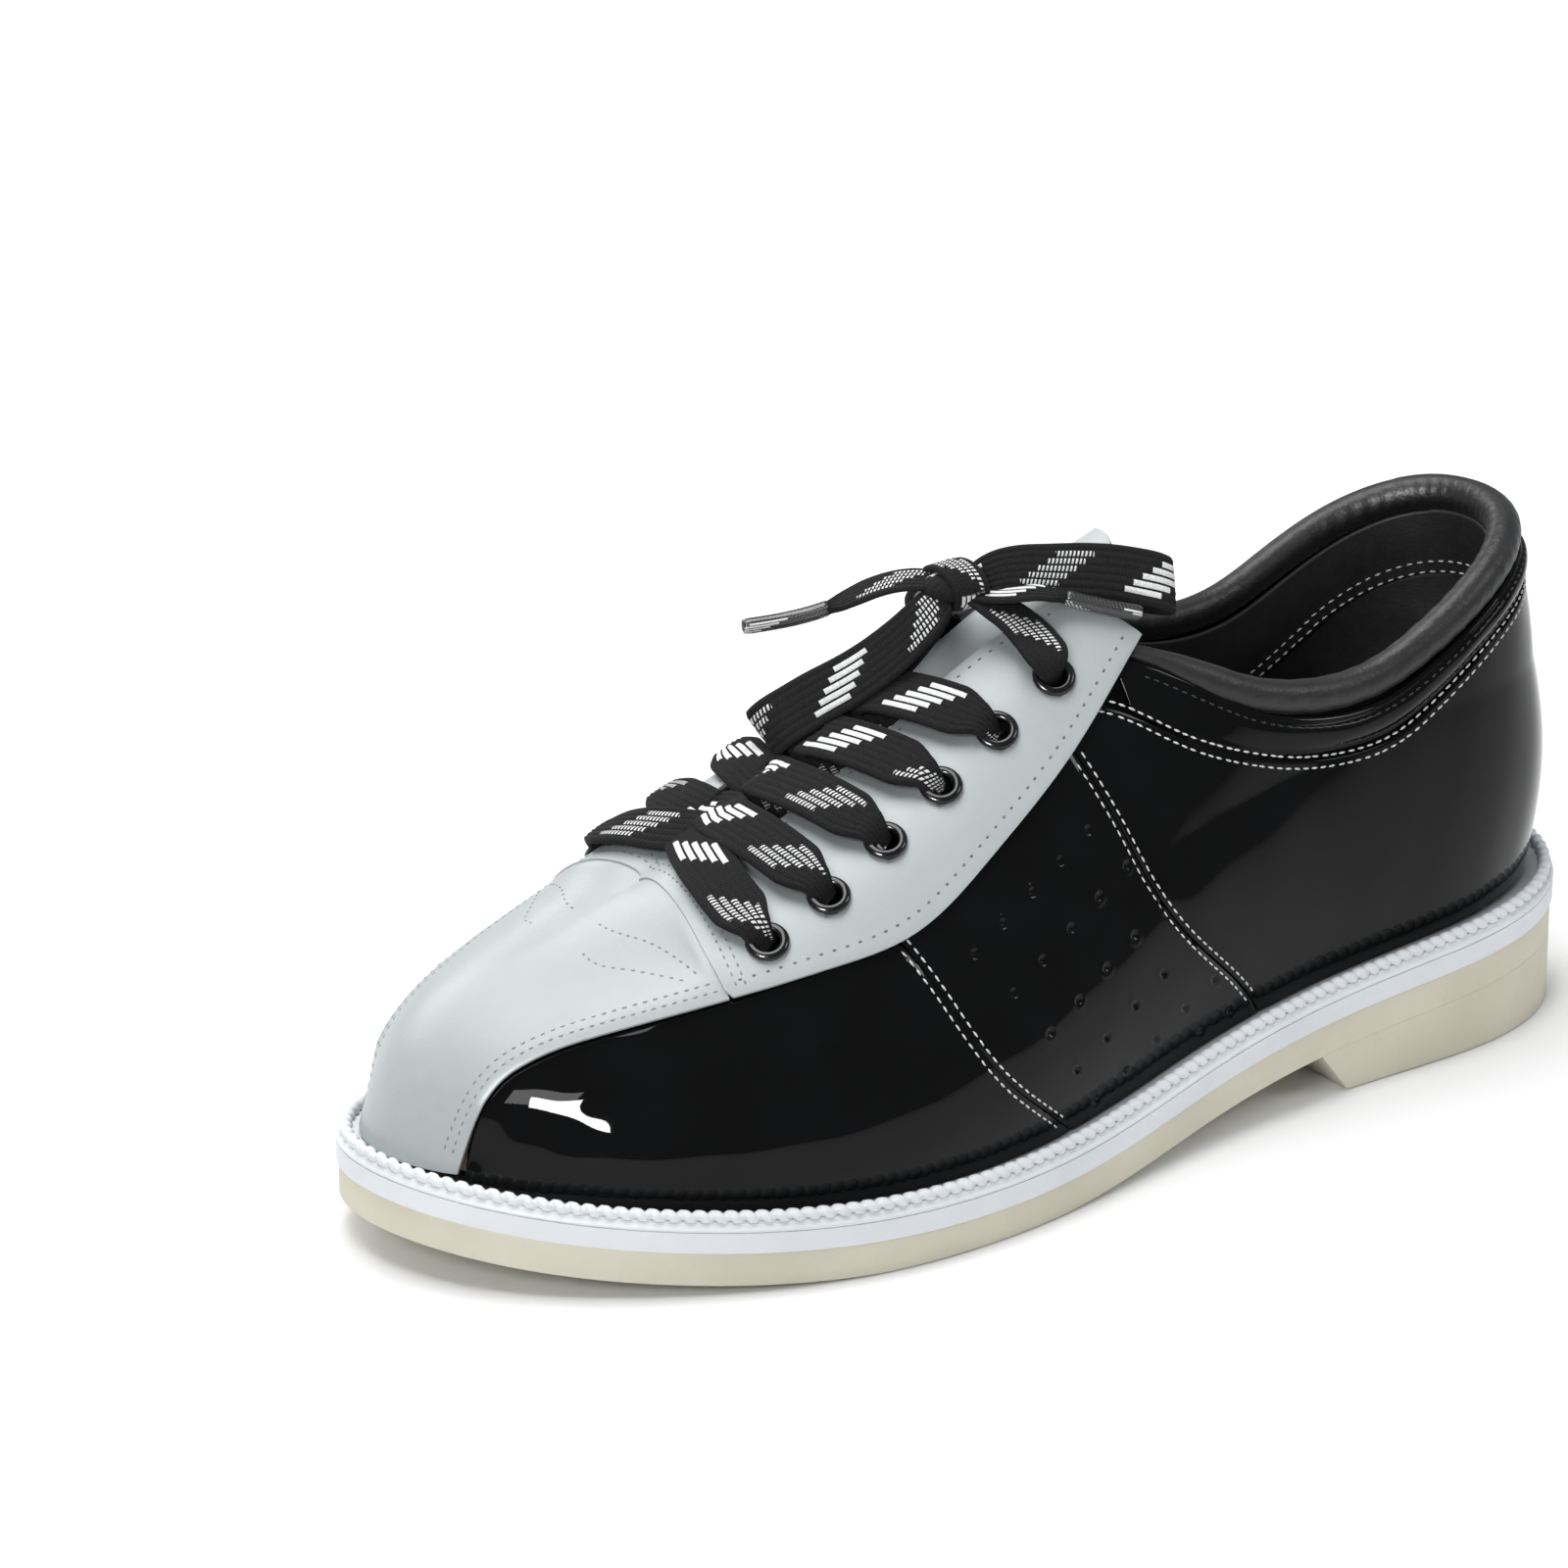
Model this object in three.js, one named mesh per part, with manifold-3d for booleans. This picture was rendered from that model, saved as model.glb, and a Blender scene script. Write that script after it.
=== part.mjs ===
// A laced bowling shoe for the left foot: a stitched upper on a welted sole with a low heel.
// The toe points along -X, the outer side of the foot is -Y, and the sole stands on Z = 0.
import * as THREE from 'three'
import { mergeVertices } from 'three/addons/utils/BufferGeometryUtils.js'
import Module from 'manifold-3d'

const wasm = await Module()
wasm.setup()

// ---------------------------------------------------------------- driving dimensions, mm
const FOOTBED_LENGTH = 284        // feather line, where the upper meets the sole, toe tip to heel back
const FOOTBED_WIDTH = 99.5        // feather line across the ball of the foot
const INSTEP_HEIGHT = 114         // highest point of the foot shape above the feather line
const OUTSOLE_THICKNESS = 7
const MIDSOLE_THICKNESS = 6.5     // from the outsole's top to the feather line, welt included
const WELT_REACH = 6.5            // how far the sole edge stands outside the feather line
const WELT_THICKNESS = 1.7
const BEAD_HEIGHT = 2.2
const TOE_SPRING = 9              // lift of the toe tip off the floor
const HEEL_RISE = 16.5            // lift of the sole at the heel
const HEEL_BREAST = 0.715         // front face of the heel, as a share of the length
const LEATHER = 1.2
const LINING = 1.0
const STIFFENER = 0.9
const BOARD_THICKNESS = 2
const SHANK_THICKNESS = 1.2
const SHANK_WIDTH = 14
const SOCK_THICKNESS = 2.5
const SOCK_CLEARANCE = 1.6
const COLLAR_PADDING = 3.4
const COLLAR_ROLL = 3.1           // radius of the padded roll along the top edge
const TONGUE_PADDING = 2.4
const EYELET_HOLE = 2.6
const EYELET_BARREL = 3.1
const EYELET_FLANGE = 4.6
const EYELET_PAIRS = 6
const LACE_WIDTH = 9
const LACE_THICKNESS = 1.5
const AGLET_DIAMETER = 3.4
const GAP = 0.3                   // clearance between pieces that touch
const UNDER = 1.5                 // layers inside the panels lie this far below them
const LINING_GAP = 0.5            // between the stiffeners and the lining

// ---------------------------------------------------------------- finishes
const finish = (color, roughness, metalness = 0) => ({ color, roughness, metalness })
const PATENT = finish(0x101114, 0.08)
const SOFT_BLACK = finish(0x17181a, 0.45)
const GREY_LEATHER = finish(0xc6cccc, 0.42)
const LINING_BLACK = finish(0x141416, 0.7)
const WHITE_RUBBER = finish(0xe9eef2, 0.5)
const CREAM_RUBBER = finish(0xd8d6c4, 0.6)
const BOARD = finish(0xb49a76, 0.9)
const CORK = finish(0xa07a50, 0.95)
const STEEL = finish(0x9a9da0, 0.35, 1)
const EYELET_BLACK = finish(0x0d0d0f, 0.25, 0.6)
const LACE_BLACK = finish(0x131315, 0.9)
const CLEAR_PLASTIC = finish(0xb9bdc0, 0.2)
const FOAM = finish(0xd9cf9a, 0.95)

// ---------------------------------------------------------------- curves
// Natural cubic spline through [x, y] points.
function spline(points) {
  const n = points.length - 1
  const h = []
  for (let i = 0; i < n; i++) h.push(points[i + 1][0] - points[i][0])
  const slope = (i) => (points[i + 1][1] - points[i][1]) / h[i]
  const diagonal = [1]
  const right = [0]
  for (let i = 1; i < n; i++) {
    const below = i === 1 ? 0 : h[i - 1] / diagonal[i - 1]
    diagonal.push(2 * (h[i - 1] + h[i]) - below * (i === 1 ? 0 : h[i - 1]))
    right.push(6 * (slope(i) - slope(i - 1)) - below * right[i - 1])
  }
  const bend = new Array(n + 1).fill(0)
  for (let i = n - 1; i > 0; i--) bend[i] = (right[i] - h[i] * bend[i + 1]) / diagonal[i]
  return (x) => {
    let i = 0
    while (i < n - 1 && x > points[i + 1][0]) i++
    const t = x - points[i][0]
    const u = h[i] - t
    const cubic = (bend[i] * u ** 3 + bend[i + 1] * t ** 3) / (6 * h[i])
    const low = (points[i][1] / h[i] - (bend[i] * h[i]) / 6) * u
    const high = (points[i + 1][1] / h[i] - (bend[i + 1] * h[i]) / 6) * t
    return cubic + low + high
  }
}

const rad = THREE.MathUtils.degToRad
const lerp = THREE.MathUtils.lerp
const clamp = THREE.MathUtils.clamp
const TURN = 2 * Math.PI
const HALF_LENGTH = FOOTBED_LENGTH / 2
const lengthShare = (x) => x / FOOTBED_LENGTH + 0.5

// Feather line: [share of the length, half width as a share of the width], toe first.
const OUTER_EDGE = [[0.046, -0.251], [0.144, -0.452], [0.278, -0.578], [0.426, -0.558], [0.585, -0.442],
  [0.743, -0.372], [0.884, -0.342], [0.968, -0.221]]
const INNER_EDGE = [[0.046, 0.251], [0.144, 0.362], [0.278, 0.422], [0.426, 0.372], [0.585, 0.286],
  [0.743, 0.281], [0.884, 0.296], [0.968, 0.201]]
const TOE_TIP = 0.035

// The angle a runs from 0 at the toe tip, past the outer side, to PI at the heel back, and on to 2 PI.
const angleAt = (share) => Math.acos(clamp(1 - 2 * share, -1, 1))
const halfWidth = (() => {
  const outer = OUTER_EDGE.map(([share, y]) => [angleAt(share), y])
  const inner = INNER_EDGE.map(([share, y]) => [TURN - angleAt(share), y]).reverse()
  const once = [[0, TOE_TIP], ...outer, [Math.PI, 0], ...inner]
  const before = once.slice(-3).map(([a, y]) => [a - TURN, y])
  const after = once.slice(0, 3).map(([a, y]) => [a + TURN, y])
  return spline([...before, ...once, ...after])
})()

function featherPoint(a) {
  const turned = ((a % TURN) + TURN) % TURN
  return new THREE.Vector2(-HALF_LENGTH * Math.cos(turned), FOOTBED_WIDTH * halfWidth(turned))
}

// The feather line moved outwards by a distance, seen from above.
function edgePoint(a, outward) {
  const step = 1e-3
  const along = featherPoint(a + step).sub(featherPoint(a - step)).normalize()
  return featherPoint(a).add(new THREE.Vector2(along.y, -along.x).multiplyScalar(outward))
}

const toeLift = spline([[-0.03, 1], [0.074, 0.5], [0.215, 0.11], [0.356, 0], [0.5, 0], [1.03, 0]])
const heelLift = spline([[-0.03, 0], [0.215, 0], [0.356, 0], [0.496, 0.09], [0.637, 0.42], [0.849, 0.8],
  [1.03, 1]])
const soleLift = (x) => TOE_SPRING * toeLift(lengthShare(x)) + HEEL_RISE * heelLift(lengthShare(x))
const TREAD_FLAT = 0.3            // the tread is cut flat where it would dip below the floor
const treadZ = (x) => Math.max(0, soleLift(x) - TREAD_FLAT)
const outsoleTop = (x) => soleLift(x) + OUTSOLE_THICKNESS
const featherZ = (x) => outsoleTop(x) + MIDSOLE_THICKNESS

// ---------------------------------------------------------------- the foot shape
// A profile rises from each point of the feather line to a ridge above the middle of the foot.
const RIDGE_REACH = 0.72          // the ridge's length as a share of the foot bed's
const ridgeHeight = spline([[0.141, 0.333], [0.215, 0.421], [0.32, 0.553], [0.426, 0.693], [0.532, 0.842],
  [0.655, 0.965], [0.796, 1], [0.859, 0.947]])
const ridgeSide = spline([[0.141, 0.05], [0.285, 0.05], [0.426, 0.04], [0.567, 0.04], [0.708, 0.03],
  [0.859, 0.01]])
const fullness = spline([[0.141, 2.3], [0.285, 2.25], [0.426, 2.1], [0.567, 2.15], [0.708, 2.6],
  [0.859, 3.4]])
const SIDE_SWELL = 2
const HEEL_SWELL = 1.5

// t runs from 0 at the feather line to 1 at the ridge.
function skinPoint(a, t) {
  const foot = featherPoint(a)
  const ridgeX = -RIDGE_REACH * HALF_LENGTH * Math.cos(a)
  const share = lengthShare(ridgeX)
  const ridge = new THREE.Vector2(ridgeX, FOOTBED_WIDTH * ridgeSide(share))
  const power = 2 / fullness(share)
  const inward = 1 - Math.max(0, Math.cos((t * Math.PI) / 2)) ** power
  const upward = Math.max(0, Math.sin((t * Math.PI) / 2)) ** power
  const low = featherZ(foot.x)
  const high = featherZ(ridgeX) + INSTEP_HEIGHT * ridgeHeight(share)
  const heel = clamp((lengthShare(foot.x) - 0.813) / 0.176, 0, 1)
  const swell = SIDE_SWELL * Math.sin(Math.PI * Math.min(upward * 2.2, 1))
    + heel * HEEL_SWELL * Math.sin(Math.PI * Math.min(upward * 1.4, 1))
  const out = foot.clone().sub(ridge).normalize().multiplyScalar(swell)
  const plan = foot.lerp(ridge, inward).add(out)
  return new THREE.Vector3(plan.x, plan.y, lerp(low, high, upward))
}

const NEAR_RIDGE = 0.97
function skinNormal(a, t) {
  if (t > 0.995) return skinNormal(a, NEAR_RIDGE).add(skinNormal(TURN - a, NEAR_RIDGE)).normalize()
  const tt = clamp(t, 0.02, NEAR_RIDGE)
  const step = 2e-3
  const along = skinPoint(a + step, tt).sub(skinPoint(a - step, tt))
  const rise = skinPoint(a, tt + step).sub(skinPoint(a, tt - step))
  return along.cross(rise).normalize()
}

// A point on the foot shape, lifted off it by a distance; a is in degrees here.
const onSkin = (degrees, t, off = 0) => {
  const a = rad(degrees)
  return skinPoint(a, t).addScaledVector(skinNormal(a, t), off)
}

// ---------------------------------------------------------------- solids
function closedGeometry(points, triangles) {
  const flat = points.flatMap((p) => [p.x, p.y, p.z])
  let geometry = new THREE.BufferGeometry()
  geometry.setAttribute('position', new THREE.Float32BufferAttribute(flat, 3))
  geometry.setIndex(triangles.flat())
  geometry = mergeVertices(geometry, 1e-3)
  const at = geometry.getAttribute('position')
  const index = geometry.getIndex().array
  const corner = (i) => new THREE.Vector3().fromBufferAttribute(at, i)
  const kept = []
  let volume = 0
  for (let i = 0; i < index.length; i += 3) {
    const [a, b, c] = index.slice(i, i + 3)
    if (a === b || b === c || c === a) continue
    kept.push([a, b, c])
    volume += corner(a).dot(corner(b).cross(corner(c)))
  }
  geometry.setIndex((volume < 0 ? kept.map(([a, b, c]) => [a, c, b]) : kept).flat())
  geometry.computeVertexNormals()
  return geometry
}

// The space between two grids of points, closed all round. A folded start, where the first row
// meets itself, has no wall of its own.
function betweenGrids(top, bottom, foldedStart = false) {
  const rows = top.length
  const cols = top[0].length
  const points = [...top.flat(), ...bottom.flat()]
  const under = rows * cols
  const id = (i, j, side) => i * cols + j + side * under
  const triangles = []
  const quad = (a, b, c, d) => triangles.push([a, b, c], [a, c, d])
  for (let i = 0; i < rows - 1; i++) {
    for (let j = 0; j < cols - 1; j++) {
      quad(id(i, j, 0), id(i + 1, j, 0), id(i + 1, j + 1, 0), id(i, j + 1, 0))
      quad(id(i, j, 1), id(i, j + 1, 1), id(i + 1, j + 1, 1), id(i + 1, j, 1))
    }
    quad(id(i, 0, 0), id(i, 0, 1), id(i + 1, 0, 1), id(i + 1, 0, 0))
    quad(id(i, cols - 1, 0), id(i + 1, cols - 1, 0), id(i + 1, cols - 1, 1), id(i, cols - 1, 1))
  }
  for (let j = 0; j < cols - 1; j++) {
    if (!foldedStart) quad(id(0, j, 0), id(0, j + 1, 0), id(0, j + 1, 1), id(0, j, 1))
    quad(id(rows - 1, j, 0), id(rows - 1, j, 1), id(rows - 1, j + 1, 1), id(rows - 1, j + 1, 0))
  }
  return closedGeometry(points, triangles)
}

const steps = (count, from = 0, to = 1) =>
  Array.from({ length: count + 1 }, (_, i) => lerp(from, to, i / count))

// A sheet on the foot shape: place(s, v) gives [degrees, t], and the sheet fills outer to inner.
function sheetGeometry(rows, cols, place, outer, inner, foldedStart = false) {
  const layer = (off) => steps(rows).map((s) => steps(cols).map((v) => {
    const [degrees, t] = place(s, v)
    return onSkin(degrees, t, typeof off === 'function' ? off(s, v) : off)
  }))
  return betweenGrids(layer(outer), layer(inner), foldedStart)
}

// A level-edged layer of the sole between two heights, with its edge outside the feather line.
function slabGeometry(outward, top, bottom, from = 0, to = 180, count = 22) {
  const layer = (height) => steps(count, rad(from), rad(to)).map((a) => {
    const outer = edgePoint(a, outward)
    const inner = edgePoint(TURN - a, outward)
    return [0, 0.5, 1].map((v) => {
      const p = outer.clone().lerp(inner, v)
      return new THREE.Vector3(p.x, p.y, height(p.x))
    })
  })
  return betweenGrids(layer(top), layer(bottom))
}

// Rings of points joined along a path, capped at its ends unless it closes on itself.
function ringsGeometry(rings, closed = false) {
  const count = rings[0].length
  const id = (i, j) => (i % rings.length) * count + (j % count)
  const triangles = []
  for (let i = 0; i < rings.length - (closed ? 0 : 1); i++) {
    for (let j = 0; j < count; j++) {
      triangles.push([id(i, j), id(i + 1, j), id(i + 1, j + 1)], [id(i, j), id(i + 1, j + 1), id(i, j + 1)])
    }
  }
  if (!closed) {
    for (let j = 1; j < count - 1; j++) {
      triangles.push([id(0, 0), id(0, j), id(0, j + 1)])
      triangles.push([id(rings.length - 1, 0), id(rings.length - 1, j + 1), id(rings.length - 1, j)])
    }
  }
  return closedGeometry(rings.flat(), triangles)
}

// A flat eight-sided section carried along points, lying square to the given up directions.
function ribbonGeometry(points, ups, width, thickness) {
  const curve = points.map((p, i) => {
    const ahead = points[Math.min(i + 1, points.length - 1)]
    const behind = points[Math.max(i - 1, 0)]
    return ahead.clone().sub(behind).normalize()
  })
  const section = [[-0.5, 0.2], [-0.38, 0.5], [0.38, 0.5], [0.5, 0.2],
    [0.5, -0.2], [0.38, -0.5], [-0.38, -0.5], [-0.5, -0.2]]
  return ringsGeometry(points.map((p, i) => {
    const side = curve[i].clone().cross(ups[i]).normalize()
    const up = side.clone().cross(curve[i]).normalize()
    return section.map(([y, z]) =>
      p.clone().addScaledVector(side, y * width).addScaledVector(up, z * thickness))
  }))
}

function toManifold(geometry) {
  const bare = mergeVertices(new THREE.BufferGeometry()
    .setAttribute('position', geometry.getAttribute('position'))
    .setIndex(geometry.getIndex()))
  return new wasm.Manifold(new wasm.Mesh({
    numProp: 3,
    vertProperties: new Float32Array(bare.getAttribute('position').array),
    triVerts: new Uint32Array(bare.getIndex().array),
  }))
}

function fromManifold(solid) {
  const mesh = solid.getMesh()
  const geometry = new THREE.BufferGeometry()
  geometry.setAttribute('position', new THREE.BufferAttribute(mesh.vertProperties, 3))
  geometry.setIndex(new THREE.BufferAttribute(mesh.triVerts, 1))
  geometry.computeVertexNormals()
  return geometry
}

// ---------------------------------------------------------------- the assembly
const shoe = new THREE.Group()

function add(name, geometry, look) {
  const mesh = new THREE.Mesh(geometry, new THREE.MeshStandardMaterial(look))
  mesh.name = name
  shoe.add(mesh)
  return mesh
}

// Sides: the outer side of the foot keeps its angles, the inner side mirrors them.
const SIDES = [['outer', (degrees) => degrees], ['inner', (degrees) => 360 - degrees]]
const seamGap = THREE.MathUtils.radToDeg(GAP / HALF_LENGTH) / 2

// ---------------------------------------------------------------- sole
const WELT_BOTTOM = GAP + WELT_THICKNESS
const OUTSOLE_REACH = WELT_REACH - 0.5
add('outsole', slabGeometry(OUTSOLE_REACH, outsoleTop, treadZ), CREAM_RUBBER)
const midsoleTop = (x) => featherZ(x) - WELT_BOTTOM - GAP
add('midsole', slabGeometry(WELT_REACH, midsoleTop, (x) => outsoleTop(x) + GAP), WHITE_RUBBER)

const heelStart = THREE.MathUtils.radToDeg(angleAt(HEEL_BREAST))
const heelTop = (x) => treadZ(x) - GAP
add('heel_block', slabGeometry(OUTSOLE_REACH, heelTop, () => 0, heelStart, 180, 12), CREAM_RUBBER)

// The welt lies on the midsole, with a corded bead that stands up against the upper.
const beadStart = LEATHER + 2 * GAP + 1.2
const weltSection = [[-3, -WELT_BOTTOM], [WELT_REACH - 0.2, -WELT_BOTTOM], [WELT_REACH, -WELT_BOTTOM + 0.7],
  [beadStart + 2.7, -GAP - 0.3], [beadStart + 2.4, BEAD_HEIGHT - 0.6], [beadStart + 1.3, BEAD_HEIGHT],
  [beadStart + 0.2, BEAD_HEIGHT - 0.6], [beadStart, -GAP], [-3, -GAP]]
const WELT_STEPS = 40
const weltPoint = (a, out, up) => {
  const p = edgePoint(a, out)
  return new THREE.Vector3(p.x, p.y, featherZ(p.x) + up)
}
const weltRings = steps(WELT_STEPS, 0, TURN).slice(0, -1)
  .map((a) => weltSection.map(([out, up]) => weltPoint(a, out, up)))
add('welt', ringsGeometry(weltRings, true), WHITE_RUBBER)

// Inside, a cork filler and a steel shank carry the insole board, and the sock liner lies on top.
const liningInside = LEATHER + UNDER + STIFFENER + LINING_GAP + LINING
const coreBottom = (x) => featherZ(x) + GAP
const boardBottom = (x) => coreBottom(x) + SHANK_THICKNESS + GAP
const boardTop = (x) => boardBottom(x) + BOARD_THICKNESS
const sockBottom = (x) => boardTop(x) + GAP
const boardEdge = -(liningInside + 2 * GAP)
const CORK_MARGIN = 4             // the cork stays this far inside the insole board's edge
const shankFrom = HALF_LENGTH * 0.1
const shankTo = HALF_LENGTH * 0.8
const coreTop = (x) => coreBottom(x) + SHANK_THICKNESS
add('cork_filler', slabGeometry(boardEdge - CORK_MARGIN, coreTop, coreBottom, 8, 92, 14), CORK)
const shankGrid = (height) => steps(10, shankFrom, shankTo).map((x) =>
  [-SHANK_WIDTH / 2, SHANK_WIDTH / 2].map((y) => new THREE.Vector3(x, y, height(x))))
add('shank', betweenGrids(shankGrid(coreTop), shankGrid(coreBottom)), STEEL)
add('insole_board', slabGeometry(boardEdge, boardTop, boardBottom), BOARD)
const sockTop = (x) => sockBottom(x) + SOCK_THICKNESS
add('sock_liner', slabGeometry(boardEdge - SOCK_CLEARANCE, sockTop, sockBottom), LINING_BLACK)

// ---------------------------------------------------------------- lines on the upper
// Every line is given as [degrees, t] on the outer side.
const stripeEdge = spline([[17, 0], [19.2, 0.195], [24.8, 0.4], [35, 0.475], [50, 0.485], [62, 0.47],
  [70.5, 0.46], [80, 0.505], [92, 0.56], [102.5, 0.64]])
const topLine = spline([[96, 0.76], [100, 0.68], [105.5, 0.555], [110.5, 0.455], [116, 0.385], [122.5, 0.34],
  [128, 0.328], [134, 0.338], [150, 0.39], [165, 0.43], [180, 0.44]])
const collarLine = spline([[90, 0.69], [96, 0.595], [102.5, 0.45], [109, 0.345], [115, 0.28], [121.5, 0.238],
  [128, 0.222], [136, 0.24], [146, 0.272], [165, 0.31], [180, 0.32]])
const frontSeam = spline([[0, 85.5], [0.125, 78.2], [0.27, 73.5], [0.43, 69.8], [0.55, 67]])
const rearSeam = spline([[0, 109.5], [0.165, 100.2], [0.34, 95.5], [0.56, 92], [0.7, 90.5]])
const REAR_SEAM_TOP = 90.7        // where the rear seam meets the collar line
const STRIPE_MEETS_FRONT = 67.6   // where the front seam runs under the facing
const UNDER_BAND = 0.006          // panels end this far, in t, below the collar line
const TUCK = 0.035                 // how far a panel runs on under the piece that covers its edge

// ---------------------------------------------------------------- upper: patent panels
const OVER = 0.7                  // covering pieces lie this far above the panels' faces
const FIRST_T = 0.014             // pieces start this far, in t, above the feather line
for (const [side, turn] of SIDES) {
  add(`forepart_${side}`, sheetGeometry(12, 5, (s, v) => {
    const topAngle = lerp(18, STRIPE_MEETS_FRONT - seamGap, s)
    const top = stripeEdge(topAngle) + TUCK * Math.min(1, s * 6)
    const t = top * v
    const footAngle = lerp(18, frontSeam(0) - seamGap, s)
    const rear = frontSeam(t) - seamGap
    const across = lerp(footAngle, topAngle, v)
    return [turn(lerp(across, Math.min(across, rear), s)), Math.max(t, FIRST_T)]
  }, 0, -LEATHER), PATENT)

  add(`mid_panel_${side}`, sheetGeometry(7, 5, (s, v) => {
    const top = lerp(stripeEdge(STRIPE_MEETS_FRONT) + TUCK, collarLine(REAR_SEAM_TOP) - UNDER_BAND, s)
    const t = top * v
    return [turn(lerp(frontSeam(t) + seamGap, rearSeam(t) - seamGap, s)), Math.max(t, FIRST_T)]
  }, 0, -LEATHER), PATENT)

  add(`quarter_${side}`, sheetGeometry(14, 5, (s, v) => {
    const topAngle = lerp(REAR_SEAM_TOP, 180 - seamGap, s)
    const t = (collarLine(topAngle) - UNDER_BAND) * v
    const straight = lerp(rearSeam(0), REAR_SEAM_TOP, v)
    const curved = rearSeam((collarLine(REAR_SEAM_TOP) - UNDER_BAND) * v) + seamGap - straight
    return [turn(lerp(straight, 180 - seamGap, s) + curved * (1 - s)), Math.max(t, FIRST_T)]
  }, 0, -LEATHER), PATENT)
}

// ---------------------------------------------------------------- upper: light leather
// The toe stripe starts at the toe tip, widens over the vamp and ends at the cross seam.
const stripeCentre = spline([[0, 0], [0.2, 0.25], [0.4, 0.55], [0.6, 0.86], [0.7, 1], [1, 1]])
const stripeRidge = spline([[0, 0], [0.6, 0], [0.7, 3], [0.85, 22], [1, 41]])
const stripeSide = spline([[0, 17.2], [0.15, 18.7], [0.3, 21.5], [0.45, 26], [0.65, 35], [0.85, 44.5],
  [1, 50.6]])
const CROSS_SEAM = { ridge: 41, side: 51 }
add('toe_stripe', sheetGeometry(14, 8, (s, v) => {
  const w = 2 * v - 1
  const sideAngle = stripeSide(s)
  const edge = stripeEdge(sideAngle)
  const middle = clamp(stripeCentre(s), 0, 1)
  const start = clamp(stripeRidge(s), 0, CROSS_SEAM.ridge)
  const angle = lerp(start, sideAngle - seamGap, Math.abs(w))
  return [w < 0 ? 360 - angle : angle, Math.max(FIRST_T, lerp(middle, edge, w * w))]
}, OVER + LEATHER, OVER), GREY_LEATHER)

// The lace facing is one U-shaped piece round the throat; its arms carry the eyelets.
const THROAT = 53                 // front end of the throat, on the ridge
const facingOuterAngle = (s) => (s < 0.25 ? lerp(CROSS_SEAM.ridge, CROSS_SEAM.side, s / 0.25)
  : lerp(CROSS_SEAM.side, 102.5, (s - 0.25) / 0.75))
const facingOuterT = (s) => (s < 0.25 ? lerp(1, stripeEdge(CROSS_SEAM.side), (s / 0.25) ** 2)
  : stripeEdge(facingOuterAngle(s)))
const facingInnerAngle = spline([[0, THROAT], [0.1, THROAT + 0.3], [0.25, 56], [0.6, 77], [1, 98.5]])
const facingInnerT = spline([[0, 1], [0.1, 0.93], [0.25, 0.885], [0.5, 0.885], [0.8, 0.88], [1, 0.82]])
const facing = sheetGeometry(32, 3, (s, v) => {
  const arm = Math.abs(2 * s - 1)
  const angle = lerp(facingOuterAngle(arm) + 2 * seamGap, facingInnerAngle(arm), v)
  const t = clamp(lerp(facingOuterT(arm), facingInnerT(arm), v), 0, 1)
  return [s < 0.5 ? angle : 360 - angle, t]
}, OVER + LEATHER, OVER)

// Eyelets sit in a row on each arm.
const eyeletAngle = (i) => lerp(55.5, 92.8, i / (EYELET_PAIRS - 1))
const eyeletT = spline([[55.5, 0.585], [63.5, 0.625], [70.8, 0.665], [78.2, 0.69], [85.5, 0.70],
  [92.8, 0.70]])
function eyeletFrame(turn, i) {
  const angle = turn(eyeletAngle(i))
  const up = skinNormal(rad(angle), eyeletT(eyeletAngle(i)))
  const spin = new THREE.Quaternion().setFromUnitVectors(new THREE.Vector3(0, 1, 0), up)
  return { at: onSkin(angle, eyeletT(eyeletAngle(i))), up, spin }
}
const EYELET_SIDES = 10
const FLANGE_LIFT = 0.4           // the flat flange clears the rounded leather
const faceTop = OVER + LEATHER + FLANGE_LIFT
const eyeletProfile = [[EYELET_HOLE, -0.2], [EYELET_BARREL, -0.2], [EYELET_BARREL, faceTop],
  [EYELET_FLANGE, faceTop],
  [EYELET_FLANGE - 0.4, faceTop + 0.7], [EYELET_HOLE, faceTop + 0.7], [EYELET_HOLE, -0.2]]
let cutFacing = toManifold(facing)
for (const [side, turn] of SIDES) {
  for (let i = 0; i < EYELET_PAIRS; i++) {
    const { at, up, spin } = eyeletFrame(turn, i)
    const bore = new THREE.CylinderGeometry(EYELET_BARREL + GAP, EYELET_BARREL + GAP, 8, EYELET_SIDES)
    bore.deleteAttribute('normal')
    bore.deleteAttribute('uv')
    bore.applyQuaternion(spin).translate(at.x, at.y, at.z)
    cutFacing = cutFacing.subtract(toManifold(mergeVertices(bore, 1e-4)))
    const ring = new THREE.LatheGeometry(eyeletProfile.map(([r, y]) => new THREE.Vector2(r, y)), EYELET_SIDES)
    ring.deleteAttribute('normal')
    ring.deleteAttribute('uv')
    const eyelet = add(`eyelet_${side}_${i + 1}`, mergeVertices(ring, 1e-4), EYELET_BLACK)
    eyelet.position.copy(at)
    eyelet.quaternion.copy(spin)
  }
}
add('lace_facing', fromManifold(cutFacing), GREY_LEATHER)

// The backstay covers the rear seam from the welt to the collar.
const BACKSTAY_HALF = 6.2         // degrees each side of the heel back
add('heel_backstay', sheetGeometry(6, 8, (s, v) =>
  [lerp(180 - BACKSTAY_HALF, 180 + BACKSTAY_HALF, s),
    Math.max(FIRST_T, (collarLine(180) - UNDER_BAND) * v)], OVER + LEATHER, OVER), GREY_LEATHER)

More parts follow.
